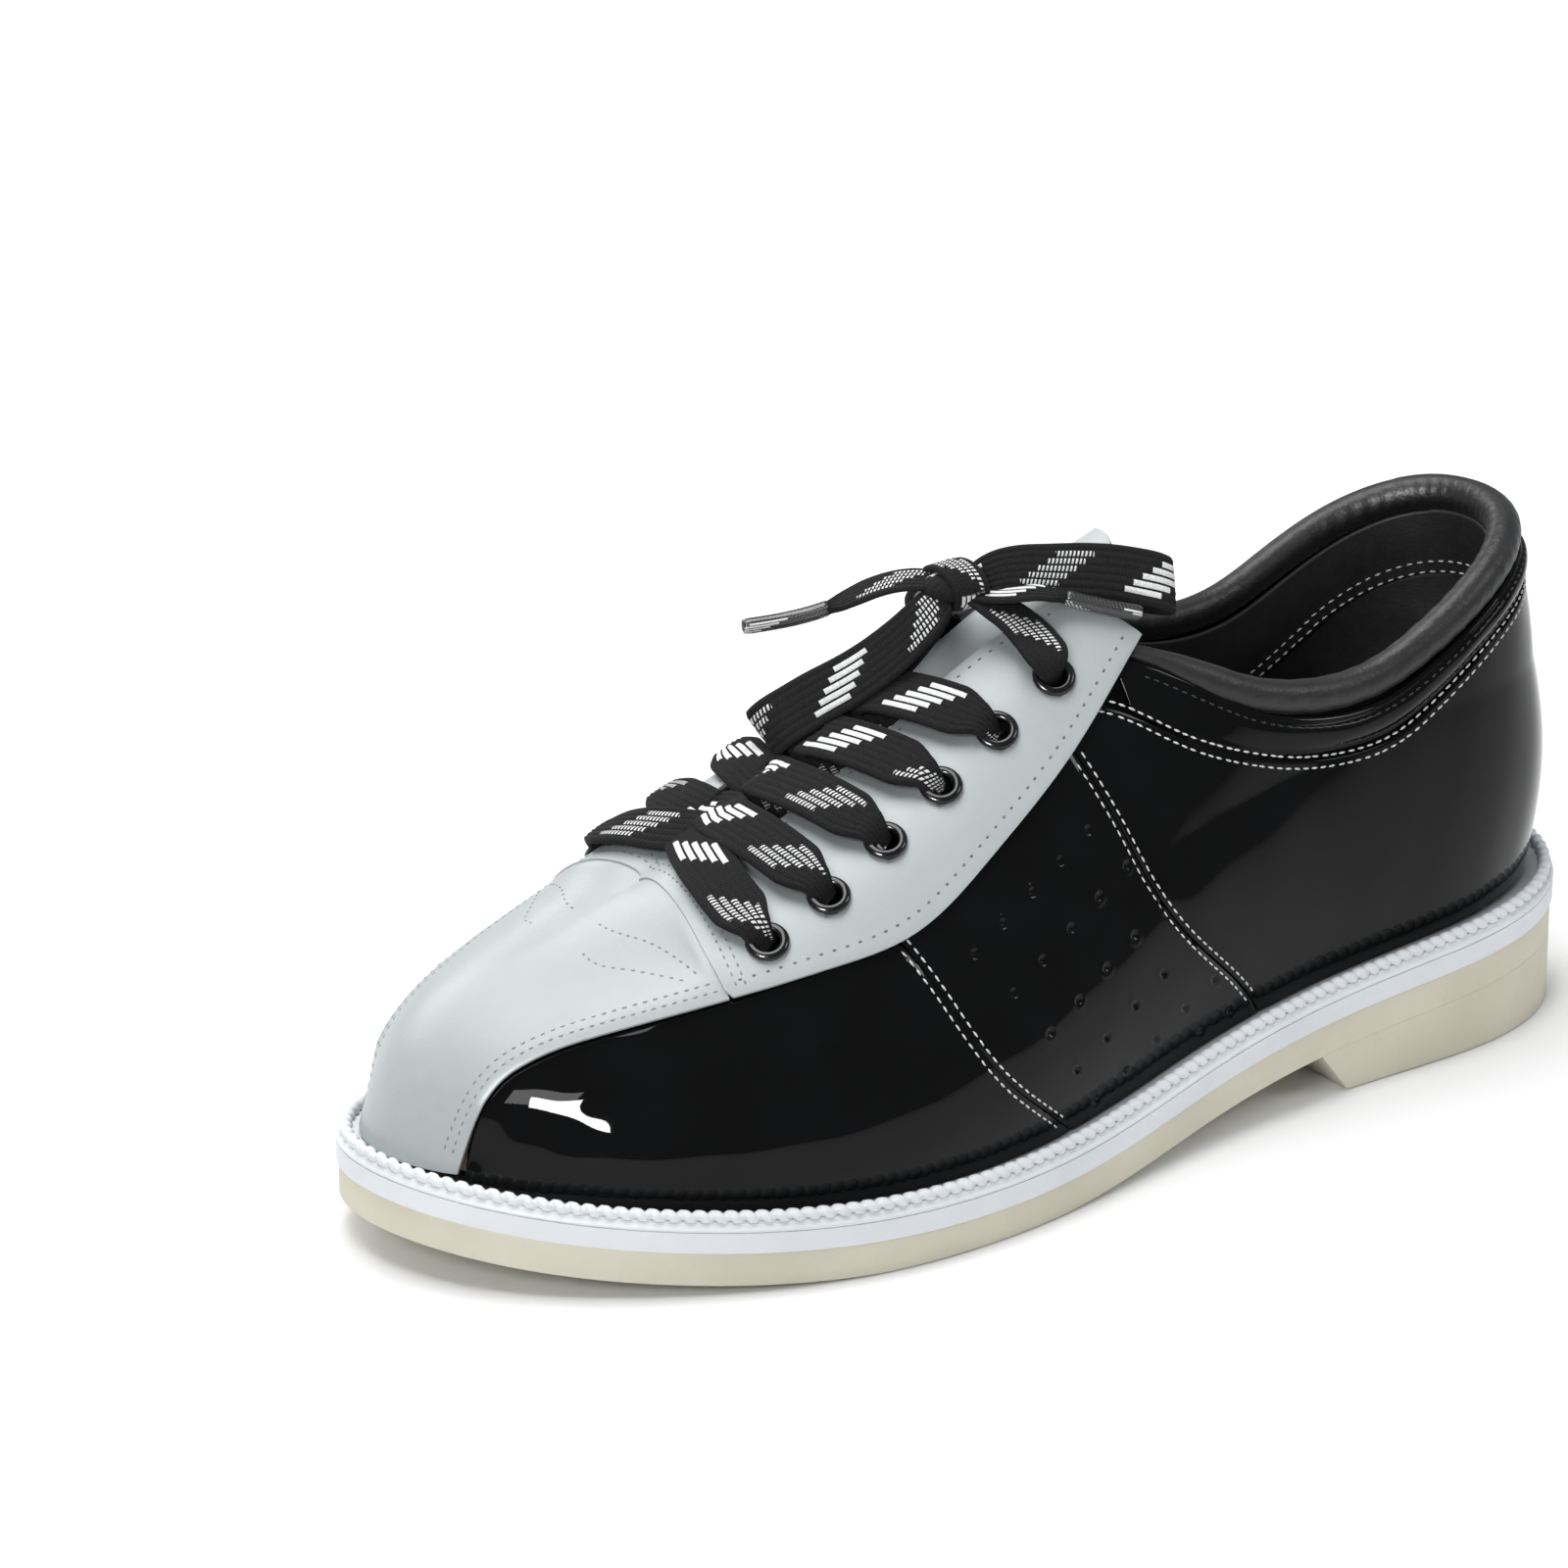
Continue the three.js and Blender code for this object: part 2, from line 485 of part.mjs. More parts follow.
// ---------------------------------------------------------------- collar
const COLLAR_FRONT = 99
const collarT = (line, angle) => line(angle <= 180 ? angle : 360 - angle)
const aroundHeel = (s) => lerp(COLLAR_FRONT, 360 - COLLAR_FRONT, s)
const COLLAR_RISE = 140           // height along the collar that a whole t spans
const rollShare = COLLAR_ROLL / COLLAR_RISE
const bandTop = (angle) => collarT(topLine, angle) - 2 * rollShare - 0.012
const PUFF = 1.6                  // how far the padding pushes the band out
const puffed = (s, v) => PUFF * Math.sin(Math.PI * v) * clamp((Math.min(s, 1 - s) - 0.03) * 9, 0, 1)
const collarSheet = (low, high) => (s, v) => {
  const angle = aroundHeel(s)
  return [angle, lerp(collarT(collarLine, angle) + low, bandTop(angle) + high, v)]
}
add('collar_band', sheetGeometry(24, 3, collarSheet(0.004, 0), puffed, -LEATHER), PATENT)
const foamInner = LEATHER + GAP + COLLAR_PADDING
add('collar_foam', sheetGeometry(20, 1, (s, v) => {
  return collarSheet(0.01, -0.014)(lerp(0.06, 0.94, s), v)
}, -LEATHER - GAP, -foamInner), FOAM)
add('collar_lining', sheetGeometry(20, 2, (s, v) => {
  const angle = aroundHeel(lerp(0.05, 0.95, s))
  return [angle, lerp(collarT(collarLine, angle) - 0.06, bandTop(angle), v)]
}, -foamInner - GAP, -foamInner - GAP - LINING), LINING_BLACK)

const ROLL_FRONT = 104.5          // the roll starts behind the facing
const rollPath = steps(24).map((s) => {
  const angle = lerp(ROLL_FRONT, 360 - ROLL_FRONT, s)
  return onSkin(angle, collarT(topLine, angle) - rollShare, -COLLAR_ROLL + 0.9)
})
const rollShape = new THREE.Shape()
rollShape.absellipse(0, 0, COLLAR_ROLL, COLLAR_ROLL, 0, TURN)
const roll = new THREE.ExtrudeGeometry(rollShape, {
  steps: 24, curveSegments: 4, extrudePath: new THREE.CatmullRomCurve3(rollPath),
})
roll.deleteAttribute('normal')
roll.deleteAttribute('uv')
add('collar_roll', mergeVertices(roll, 1e-4), SOFT_BLACK)

// ---------------------------------------------------------------- stiffeners and linings
const stiffOuter = -(LEATHER + UNDER)
const stiffInner = stiffOuter - STIFFENER
const liningOuter = stiffInner - LINING_GAP
const liningInner = liningOuter - LINING
add('toe_puff', sheetGeometry(16, 4, (s, v) => {
  const angle = lerp(-40, 40, s)
  return [angle < 0 ? angle + 360 : angle, lerp(FIRST_T, 0.62, v)]
}, stiffOuter, stiffInner), BOARD)
add('heel_counter', sheetGeometry(12, 3, (s, v) => {
  const angle = lerp(122, 238, s)
  return [angle, lerp(FIRST_T, collarT(collarLine, angle) - 0.07, v)]
}, stiffOuter, stiffInner), BOARD)

const LINING_SEAM = 82
const VAMP_LINING_END = 47
add('vamp_lining', sheetGeometry(12, 12, (s, v) => {
  const w = 2 * v - 1
  const rear = lerp(VAMP_LINING_END, LINING_SEAM, clamp((Math.abs(w) - 0.45) / 0.1, 0, 1) ** 0.8)
  const angle = lerp(0, rear - seamGap, s)
  return [w < 0 ? (360 - angle) % 360 : angle, lerp(FIRST_T, 1, 1 - Math.abs(w))]
}, liningOuter, liningInner, true), LINING_BLACK)
for (const [side, turn] of SIDES) {
  add(`quarter_lining_${side}`, sheetGeometry(10, 4, (s, v) => {
    const angle = lerp(LINING_SEAM + seamGap, 180 - seamGap, s)
    const behind = Math.min(collarLine(angle) - 0.07, stripeEdge(96) - 0.02)
    const top = angle < 96 ? stripeEdge(angle) - 0.02 : behind
    return [turn(angle), lerp(FIRST_T, top, v)]
  }, liningOuter, liningInner), LINING_BLACK)
}

// ---------------------------------------------------------------- tongue
// The tongue is sewn in under the front of the throat and runs out past the top of the facing.
const TONGUE_BASE = 48.5
const TONGUE_TIP = 107
const tongueEdge = spline([[48, 0.7], [70, 0.7], [90, 0.71], [97, 0.76], [103, 0.85], [107, 0.95]])
const tongueSheet = (from, to, margin) => (s, v) => {
  const w = 2 * v - 1
  const angle = lerp(from, to, s)
  const t = lerp(1, tongueEdge(angle) + margin, Math.abs(w))
  return [w < 0 ? 360 - angle : angle, t]
}
const tongueTop = stiffOuter
const tongueFace = tongueTop - STIFFENER
const tonguePad = tongueFace - 2 * GAP - TONGUE_PADDING
add('tongue_cover', sheetGeometry(12, 4, tongueSheet(TONGUE_BASE, TONGUE_TIP, 0), tongueTop, tongueFace),
  GREY_LEATHER)
add('tongue_padding', sheetGeometry(10, 4, tongueSheet(52, 105.5, 0.02), tongueFace - 2 * GAP, tonguePad),
  FOAM)
const tongueInside = tonguePad - GAP
add('tongue_lining', sheetGeometry(10, 4, tongueSheet(52, 106.5, 0.005), tongueInside, tongueInside - LINING),
  LINING_BLACK)

// ---------------------------------------------------------------- lacing
// Strands from the inner side lie lowest over the throat, and those from the outer side cross them.
const eyeletTop = faceTop + 0.7
const laceRest = eyeletTop + 2 * GAP + LACE_THICKNESS / 2
const lowLevel = OVER + LEATHER + GAP + LACE_THICKNESS / 2
const highLevel = lowLevel + LACE_THICKNESS + 2 * GAP
const pitch = eyeletAngle(1) - eyeletAngle(0)
const STRAND_LEAN = -0.3          // a strand drifts this many eyelet pitches, towards the toe
const LAST_LEAN = 0.7             // the last crossing runs back below the knot
const STRAND_SETTLE = 0.26        // it comes down to its level over this much t
function strand(turn, i, drift, level, farT) {
  const startAngle = eyeletAngle(i)
  const startT = eyeletT(startAngle)
  const half = 1 - startT
  const total = half + (1 - farT)
  const path = steps(10).map((p) => {
    const run = p * total
    const past = run > half
    const t = past ? 1 - (run - half) : startT + run
    const angle = startAngle + drift * p * pitch
    const off = lerp(laceRest, level, past ? 1 : clamp((t - startT) / STRAND_SETTLE, 0, 1))
    const degrees = past ? 360 - turn(angle) : turn(angle)
    return { at: onSkin(degrees, t, off), up: skinNormal(rad(degrees), Math.min(t, NEAR_RIDGE)) }
  })
  return ribbonGeometry(path.map((p) => p.at), path.map((p) => p.up), LACE_WIDTH, LACE_THICKNESS)
}
add('lace_bar', strand(SIDES[0][1], 0, 0, laceRest, eyeletT(eyeletAngle(0))), LACE_BLACK)
for (let i = 1; i < EYELET_PAIRS - 1; i++) {
  add(`lace_under_${i + 1}`, strand(SIDES[1][1], i, STRAND_LEAN, lowLevel, 0.93), LACE_BLACK)
  const lean = i < EYELET_PAIRS - 2 ? STRAND_LEAN : LAST_LEAN
  add(`lace_over_${i + 1}`, strand(SIDES[0][1], i, lean, highLevel, 0.955), LACE_BLACK)
}

// ---------------------------------------------------------------- bow
// The two lace ends meet in the knot; a loop and a tipped tail leave it on each side.
const vec = (p) => new THREE.Vector3(...p)
const KNOT = [-5, 0, 116.4]
const KNOT_RADII = [8, 6.5, 4.2]
const LOOP_THICKNESS = 3 * LACE_THICKNESS
const TOWARDS_FRONT = [-0.25, -0.6, 0.75]
const UPWARDS = [0, -0.15, 1]
const LOOP_OUTER = [[4.1, -4.1, 120.7], [12, -7, 122.3], [21, -10, 121], [30, -13, 118], [37, -16, 113.5]]
const LOOP_INNER = [[-13.2, -1.5, 112.5], [-19, 0.5, 104.4], [-27, 4, 99], [-35, 8, 95], [-42, 11.6, 91.2]]
const TAIL_OUTER = [[2.6, -8.2, 116], [7.5, -11.6, 116.4], [12.5, -14.6, 115]]
const TAIL_INNER = [[-11.3, 4.6, 117.6], [-19.5, 11, 114.8], [-25.4, 15, 111.3]]
const AGLET_OUTER = [[13.1, -15, 115], [26.9, -23, 110.7]]
const AGLET_INNER = [[-26.1, 15.4, 111.1], [-42.8, 22, 108.1]]
const END_OUTER = [[3.8, -15.2, 109], [0.6, -9.2, 113]]
const END_INNER = [[-1, 15, 110], [-3, 9.4, 113.4]]

const knot = new THREE.SphereGeometry(1, 12, 8).scale(...KNOT_RADII)
knot.deleteAttribute('normal')
knot.deleteAttribute('uv')
add('lace_knot', mergeVertices(knot, 1e-4), LACE_BLACK).position.copy(vec(KNOT))

function freeRibbon(route, up, width, thickness, count = 8) {
  const curve = new THREE.CatmullRomCurve3(route.map(vec))
  const points = curve.getPoints(count)
  return ribbonGeometry(points, points.map(() => vec(up).normalize()), width, thickness)
}
add('lace_loop_outer', freeRibbon(LOOP_OUTER, TOWARDS_FRONT, LACE_WIDTH, LOOP_THICKNESS), LACE_BLACK)
add('lace_loop_inner', freeRibbon(LOOP_INNER, UPWARDS, LACE_WIDTH, LOOP_THICKNESS), LACE_BLACK)
add('lace_tail_outer', freeRibbon(TAIL_OUTER, UPWARDS, LACE_WIDTH * 0.7, LACE_THICKNESS, 4), LACE_BLACK)
add('lace_tail_inner', freeRibbon(TAIL_INNER, UPWARDS, LACE_WIDTH * 0.7, LACE_THICKNESS, 4), LACE_BLACK)
add('aglet_outer', freeRibbon(AGLET_OUTER, UPWARDS, AGLET_DIAMETER, AGLET_DIAMETER, 1), CLEAR_PLASTIC)
add('aglet_inner', freeRibbon(AGLET_INNER, UPWARDS, AGLET_DIAMETER, AGLET_DIAMETER, 1), CLEAR_PLASTIC)

for (const [[side, turn], route] of [[SIDES[0], END_OUTER], [SIDES[1], END_INNER]]) {
  const last = EYELET_PAIRS - 1
  const { at, up } = eyeletFrame(turn, last)
  const start = at.clone().addScaledVector(up, laceRest)
  const curve = new THREE.CatmullRomCurve3([start, ...route.map(vec)])
  const points = curve.getPoints(5)
  const ups = points.map(() => up)
  add(`lace_end_${side}`, ribbonGeometry(points, ups, LACE_WIDTH, LACE_THICKNESS), LACE_BLACK)
}

// The origin is below the middle of the sole.
const rim = steps(180, 0, TURN).map((a) => edgePoint(a, WELT_REACH))
const middle = new THREE.Box2().setFromPoints(rim).getCenter(new THREE.Vector2())
shoe.position.set(-middle.x, -middle.y, 0)
const bowlingShoe = new THREE.Group()
bowlingShoe.add(shoe)

export default bowlingShoe
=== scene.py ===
# %% [markdown]
# # A laced bowling shoe
# The shoe is built the way it is sewn: panels on a foot shape, a welt and a sole below, laces on top.
# The CAD frame gives the sizes, and every piece made here stands for one or more of its nodes.

import math
import random

import bmesh
import bpy
import numpy as np
from mathutils import Matrix, Vector
from mathutils.bvhtree import BVHTree


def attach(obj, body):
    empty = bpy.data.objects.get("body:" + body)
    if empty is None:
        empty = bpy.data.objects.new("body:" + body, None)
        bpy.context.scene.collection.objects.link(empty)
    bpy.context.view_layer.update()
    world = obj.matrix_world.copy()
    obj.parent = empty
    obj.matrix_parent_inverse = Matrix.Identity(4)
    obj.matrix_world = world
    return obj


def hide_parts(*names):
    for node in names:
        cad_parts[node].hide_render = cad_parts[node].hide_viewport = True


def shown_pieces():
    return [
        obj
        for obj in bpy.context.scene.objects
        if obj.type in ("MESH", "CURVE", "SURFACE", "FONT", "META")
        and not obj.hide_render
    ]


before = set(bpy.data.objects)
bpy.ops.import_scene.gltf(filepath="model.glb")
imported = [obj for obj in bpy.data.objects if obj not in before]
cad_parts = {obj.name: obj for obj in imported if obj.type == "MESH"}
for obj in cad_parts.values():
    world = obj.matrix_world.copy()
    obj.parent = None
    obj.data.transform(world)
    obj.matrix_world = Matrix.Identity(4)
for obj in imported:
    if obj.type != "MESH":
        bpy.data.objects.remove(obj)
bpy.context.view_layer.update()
MM = 0.001
draw = random.Random(7)

# %% [markdown]
# ## Camera
# The shoe is seen from its toe and outer side, from a little above. A long lens keeps its shape true.
# The camera looks slightly past the middle of the shoe instead of shifting its lens, so other views
# keep the same framing.

# %% Place the camera
AZIMUTH = math.radians(-35.06)
ELEVATION = math.radians(23.14)
DISTANCE = 1.497
AIM = Vector((0.0, 0.00832, 0.030))
LOOK_LEFT, LOOK_UP = 0.0395, 0.03775

backwards = Vector((math.sin(AZIMUTH) * math.cos(ELEVATION),
                    -math.cos(AZIMUTH) * math.cos(ELEVATION), math.sin(ELEVATION)))
rightwards = Vector((math.cos(AZIMUTH), math.sin(AZIMUTH), 0.0))
upwards = backwards.cross(rightwards)
camera = bpy.data.objects.new("camera", bpy.data.cameras.new("camera"))
bpy.context.scene.collection.objects.link(camera)
camera.location = AIM + backwards * DISTANCE
camera.data.sensor_width = 36.0
camera.data.lens = 161.95
camera.data.clip_start, camera.data.clip_end = 0.05, 20.0
look_at = AIM - rightwards * LOOK_LEFT + upwards * LOOK_UP
camera.rotation_euler = (look_at - camera.location).to_track_quat("-Z", "Y").to_euler()
bpy.context.scene.camera = camera
print("camera at", [round(c, 3) for c in camera.location])

# %% [markdown]
# ## The foot shape
# A shoemaker works on a last, a solid foot shape. Here the last is a formula: the feather line, where
# the upper meets the sole, runs round the foot, and from each of its points a profile rises to a ridge
# above the middle of the foot. A place on the last is then two numbers, an angle round the foot and a
# height from 0 at the feather line to 1 at the ridge, so seams can be drawn as on a flat pattern.

# %% Smooth curves through points
def spline(points):
    """A natural cubic spline through [x, y] points."""
    x, y = np.array(points, float).T
    step = np.diff(x)
    slope = np.diff(y) / step
    size = len(x)
    system, right = np.eye(size), np.zeros(size)
    for i in range(1, size - 1):
        system[i, i - 1:i + 2] = step[i - 1], 2 * (step[i - 1] + step[i]), step[i]
        right[i] = 6 * (slope[i] - slope[i - 1])
    bend = np.linalg.solve(system, right)

    def at(value):
        value = np.asarray(value, float)
        i = np.clip(np.searchsorted(x, value) - 1, 0, size - 2)
        t, h = value - x[i], step[i]
        u = h - t
        cubic = (bend[i] * u ** 3 + bend[i + 1] * t ** 3) / (6 * h)
        return cubic + (y[i] / h - bend[i] * h / 6) * u + (y[i + 1] / h - bend[i + 1] * h / 6) * t
    return at


def lerp(low, high, share):
    return low + (high - low) * share


def ease(value):
    value = np.clip(value, 0, 1)
    return value * value * (3 - 2 * value)


# %% The feather line
LENGTH, WIDTH, INSTEP = 284 * MM, 99.5 * MM, 114 * MM
HALF_LENGTH = LENGTH / 2
TOE_TIP = 0.035
OUTER_EDGE = [(0.046, -0.251), (0.144, -0.452), (0.278, -0.578), (0.426, -0.558), (0.585, -0.442),
              (0.743, -0.372), (0.884, -0.342), (0.968, -0.221)]
INNER_EDGE = [(0.046, 0.251), (0.144, 0.362), (0.278, 0.422), (0.426, 0.372), (0.585, 0.286),
              (0.743, 0.281), (0.884, 0.296), (0.968, 0.201)]


def angle_at(share):
    return math.acos(1 - 2 * share)


around_foot = [(0.0, TOE_TIP), *[(angle_at(share), y) for share, y in OUTER_EDGE], (math.pi, 0.0),
               *[(math.tau - angle_at(share), y) for share, y in reversed(INNER_EDGE)]]
half_width = spline([(a - math.tau, y) for a, y in around_foot[-3:]] + around_foot
                    + [(a + math.tau, y) for a, y in around_foot[:3]])


def feather(a):
    turned = np.mod(a, math.tau)
    return np.stack([-HALF_LENGTH * np.cos(turned), WIDTH * half_width(turned)], -1)


def edge(a, outward):
    """The feather line moved outwards, seen from above; outward may be one number or one for each a."""
    along = feather(a + 1e-3) - feather(a - 1e-3)
    along /= np.linalg.norm(along, axis=-1, keepdims=True)
    outwards = np.stack([along[..., 1], -along[..., 0]], -1)
    return feather(a) + outwards * np.asarray(outward)[..., None]


WELT_REACH = 6.5 * MM
rim = edge(np.linspace(0, math.tau, 181), WELT_REACH)
ORIGIN = (rim.min(0) + rim.max(0)) / 2
print("sole in mm:", np.round((rim.max(0) - rim.min(0)) / MM, 1))

# %% Heights of the sole
TOE_SPRING, HEEL_RISE = 9 * MM, 16.5 * MM
OUTSOLE, MIDSOLE, TREAD_FLAT = 7 * MM, 6.5 * MM, 0.3 * MM
toe_lift = spline([(-.03, 1), (.074, .5), (.215, .11), (.356, 0), (.5, 0), (1.03, 0)])
heel_lift = spline([(-.03, 0), (.215, 0), (.356, 0), (.496, .09), (.637, .42), (.849, .8), (1.03, 1)])


def length_share(x):
    return x / LENGTH + 0.5


def sole_lift(x):
    return TOE_SPRING * toe_lift(length_share(x)) + HEEL_RISE * heel_lift(length_share(x))


def tread_z(x):
    return np.maximum(0, sole_lift(x) - TREAD_FLAT)


def outsole_top(x):
    return sole_lift(x) + OUTSOLE


def feather_z(x):
    return outsole_top(x) + MIDSOLE


# %% The skin of the last
RIDGE_REACH, SIDE_SWELL, HEEL_SWELL, TOE_TUCK = 0.72, 2 * MM, 1.5 * MM, 3.4 * MM
ridge_height = spline([(.141, .333), (.215, .421), (.32, .553), (.426, .693), (.532, .842),
                       (.655, .965), (.796, 1), (.859, .947)])
ridge_side = spline([(.141, .05), (.285, .05), (.426, .04), (.567, .04), (.708, .03), (.859, .01)])
fullness = spline([(.141, 2.3), (.285, 2.25), (.426, 2.1), (.567, 2.15), (.708, 2.6), (.859, 3.4)])


def skin(a, t):
    a, t = np.broadcast_arrays(np.asarray(a, float), np.asarray(t, float))
    foot = feather(a)
    ridge_x = -RIDGE_REACH * HALF_LENGTH * np.cos(a)
    share = length_share(ridge_x)
    ridge = np.stack([ridge_x, WIDTH * ridge_side(share)], -1)
    power = 2 / fullness(share)
    inward = 1 - np.maximum(0, np.cos(t * math.pi / 2)) ** power
    upward = np.maximum(0, np.sin(t * math.pi / 2)) ** power
    low, high = feather_z(foot[..., 0]), feather_z(ridge_x) + INSTEP * ridge_height(share)
    heel = np.clip((length_share(foot[..., 0]) - 0.813) / 0.176, 0, 1)
    toe = 1 - ease(length_share(foot[..., 0]) / 0.16)
    swell = ((SIDE_SWELL - TOE_TUCK * toe) * np.sin(math.pi * np.minimum(upward * 2.2, 1))
             + heel * HEEL_SWELL * np.sin(math.pi * np.minimum(upward * 1.4, 1)))
    away = foot - ridge
    away = away / np.linalg.norm(away, axis=-1, keepdims=True)
    plan = foot + (ridge - foot) * inward[..., None] + away * swell[..., None] - ORIGIN
    return np.stack([plan[..., 0], plan[..., 1], lerp(low, high, upward)], -1)


def slope_normal(a, t):
    step = 2e-3
    t = np.clip(t, 0.02, 0.97)
    normal = np.cross(skin(a + step, t) - skin(a - step, t), skin(a, t + step) - skin(a, t - step))
    return normal / np.linalg.norm(normal, axis=-1, keepdims=True)


def skin_normal(a, t):
    a, t = np.broadcast_arrays(np.asarray(a, float), np.asarray(t, float))
    both = slope_normal(a, t) + slope_normal(math.tau - a, t)
    both /= np.linalg.norm(both, axis=-1, keepdims=True)
    own = slope_normal(a, t)
    share = ease((t - 0.88) / 0.12)[..., None]
    normal = own * (1 - share) + both * share
    return normal / np.linalg.norm(normal, axis=-1, keepdims=True)


def on_skin(degrees, t, off=0.0):
    a = np.radians(degrees)
    return skin(a, t) + skin_normal(a, t) * np.asarray(off)[..., None]


print("ridge above the heel in mm:", np.round(on_skin(np.array([120.0]), 1.0) / MM, 1))

# %% [markdown]
# ## Lines on the upper
# The pattern lines of the upper, each one as angle against height: the curved edge that the light
# stripe and the lace facing share, the top line of the foot opening, the line where the padded collar
# starts, and the two seams that run down each side.

# %% Pattern lines
stripe_edge = spline([(17, 0), (19.2, .195), (24.8, .4), (35, .475), (50, .485), (62, .47),
                      (70.5, .46), (80, .505), (92, .56), (102.5, .64)])
top_line = spline([(96, .76), (100, .68), (105.5, .555), (110.5, .455), (116, .385), (122.5, .34),
                   (128, .328), (134, .338), (150, .39), (165, .43), (180, .44)])
collar_line = spline([(90, .69), (96, .595), (102.5, .45), (109, .345), (115, .28), (121.5, .238),
                      (128, .222), (136, .24), (146, .272), (165, .31), (180, .32)])
front_seam = spline([(0, 85.5), (.125, 78.2), (.27, 73.5), (.43, 69.8), (.55, 67)])
rear_seam = spline([(0, 109.5), (.165, 100.2), (.34, 95.5), (.56, 92), (.7, 90.5)])
FIRST_T = 0.0005
STRIPE_MEETS_FRONT, REAR_SEAM_TOP = 67.6, 90.7
STITCH_START_T, PANEL_LAP, UNDER_BAND = 0.022, 0.035, 0.006
SIDES = {"outer": 1, "inner": -1}


def mirrored(degrees, side):
    return degrees if side > 0 else 360 - degrees


def both_sides(line, degrees):
    """A line that is drawn on the outer side, read on either side of the foot."""
    return line(np.where(degrees <= 180, degrees, 360 - degrees))


# %% [markdown]
# ## Thicknesses
# Leather is about 1.2 mm thick. The light pieces are sewn on top of the patent panels, and the
# stiffeners and linings lie in layers below them.

# %% Layers
LEATHER, OVER, GAP, UNDER = 1.2 * MM, 0.7 * MM, 0.3 * MM, 1.5 * MM
LIGHT_TOP = OVER + LEATHER
STIFF_TOP, STIFFENER, LINING, LINING_GAP = -(LEATHER + UNDER), 0.9 * MM, 1.0 * MM, 0.5 * MM
LINING_TOP = STIFF_TOP - STIFFENER - LINING_GAP
EYELET_HOLE, EYELET_FLANGE = 2.6 * MM, 4.6 * MM
EYELET_TOP = LIGHT_TOP + 1.1 * MM
LACE_WIDTH, LACE_THICK, AGLET = 9 * MM, 1.5 * MM, 3.4 * MM
LACE_ON_EYELET = EYELET_TOP + 2 * GAP + LACE_THICK / 2
LACE_LOW = LIGHT_TOP + GAP + LACE_THICK / 2
LACE_HIGH = LACE_LOW + LACE_THICK + 2 * GAP

# %% [markdown]
# ## From bmesh to a piece
# Every piece starts as a flat grid that an operator makes. Moving the grid's points to their places
# keeps its faces in order, so a sheet, a tube and a closed ring all come from the same few lines.

# %% Turn a bmesh into an object
def piece_from(bm, name, turn_outwards=True):
    if turn_outwards:
        bmesh.ops.recalc_face_normals(bm, faces=bm.faces[:])
    for face in bm.faces:
        face.smooth = True
    mesh = bpy.data.meshes.new(name)
    bm.to_mesh(mesh)
    bm.free()
    piece = bpy.data.objects.new(name, mesh)
    bpy.context.scene.collection.objects.link(piece)
    return piece


def place(verts, points):
    for vert, point in zip(verts, points):
        vert.co = point


# %% Tubes and ribbons along a path
def tube(name, rings, across=None, along=None, closed=False):
    """Skins rings of points, shape (rings, points, 3). The UV map holds metres along and across."""
    count, around = rings.shape[:2]
    bm = bmesh.new()
    bmesh.ops.create_grid(bm, x_segments=count - (0 if closed else 1), y_segments=around, size=0.5)
    grid = np.array([v.co for v in bm.verts])
    i = np.rint((grid[:, 0] + 0.5) * (count - (0 if closed else 1))).astype(int)
    j = np.rint((grid[:, 1] + 0.5) * around).astype(int)
    place(bm.verts, rings[i % count, j % around])
    if across is not None:
        layers = bm.verts.layers.float.new("along"), bm.verts.layers.float.new("across")
        for vert, u, v in zip(bm.verts, along[i % count], across[i % count, j % around]):
            vert[layers[0]], vert[layers[1]] = u, v
    bmesh.ops.remove_doubles(bm, verts=bm.verts[:], dist=1e-7)
    open_edges = [e for e in bm.edges if e.is_boundary]
    if open_edges:
        bmesh.ops.holes_fill(bm, edges=open_edges, sides=0)
    if across is not None:
        uv = bm.loops.layers.uv.new("UVMap")
        for face in bm.faces:
            for loop in face.loops:
                loop[uv].uv = loop.vert[layers[0]], loop.vert[layers[1]]
    return piece_from(bm, name)


def directions(path, closed=False):
    if closed:
        ahead = np.roll(path, -1, 0) - np.roll(path, 1, 0)
    else:
        ahead = np.gradient(path, axis=0)
    return ahead / np.linalg.norm(ahead, axis=1, keepdims=True)


def smooth_path(points, count, closed=False):
    """Even steps along a smooth curve through points."""
    points = np.array(points, float)
    if closed:
        points = np.vstack([points[-3:], points, points[:4]])
    reach = np.r_[0, np.cumsum(np.linalg.norm(np.diff(points, axis=0), axis=1))]
    fine = np.linspace(reach[3], reach[-4], 600) if closed else np.linspace(0, reach[-1], 600)
    curve = np.stack([spline(np.c_[reach, points[:, k]])(fine) for k in range(3)], 1)
    run = np.r_[0, np.cumsum(np.linalg.norm(np.diff(curve, axis=0), axis=1))]
    steps = np.linspace(0, run[-1], count + 1)[:-1] if closed else np.linspace(0, run[-1], count)
    return np.stack([np.interp(steps, run, curve[:, k]) for k in range(3)], 1)


# %% [markdown]
# ## Flat laces
# The lace is a flat tubular braid, black with a white tracer thread. It is a ribbon with rounded
# edges and fine ribs along it. It gathers where it goes into an eyelet or a knot, so its width and
# thickness change along the way.

# %% A braided ribbon
RIBS, RIB_DEPTH, AROUND = 7, 0.09 * MM, 64


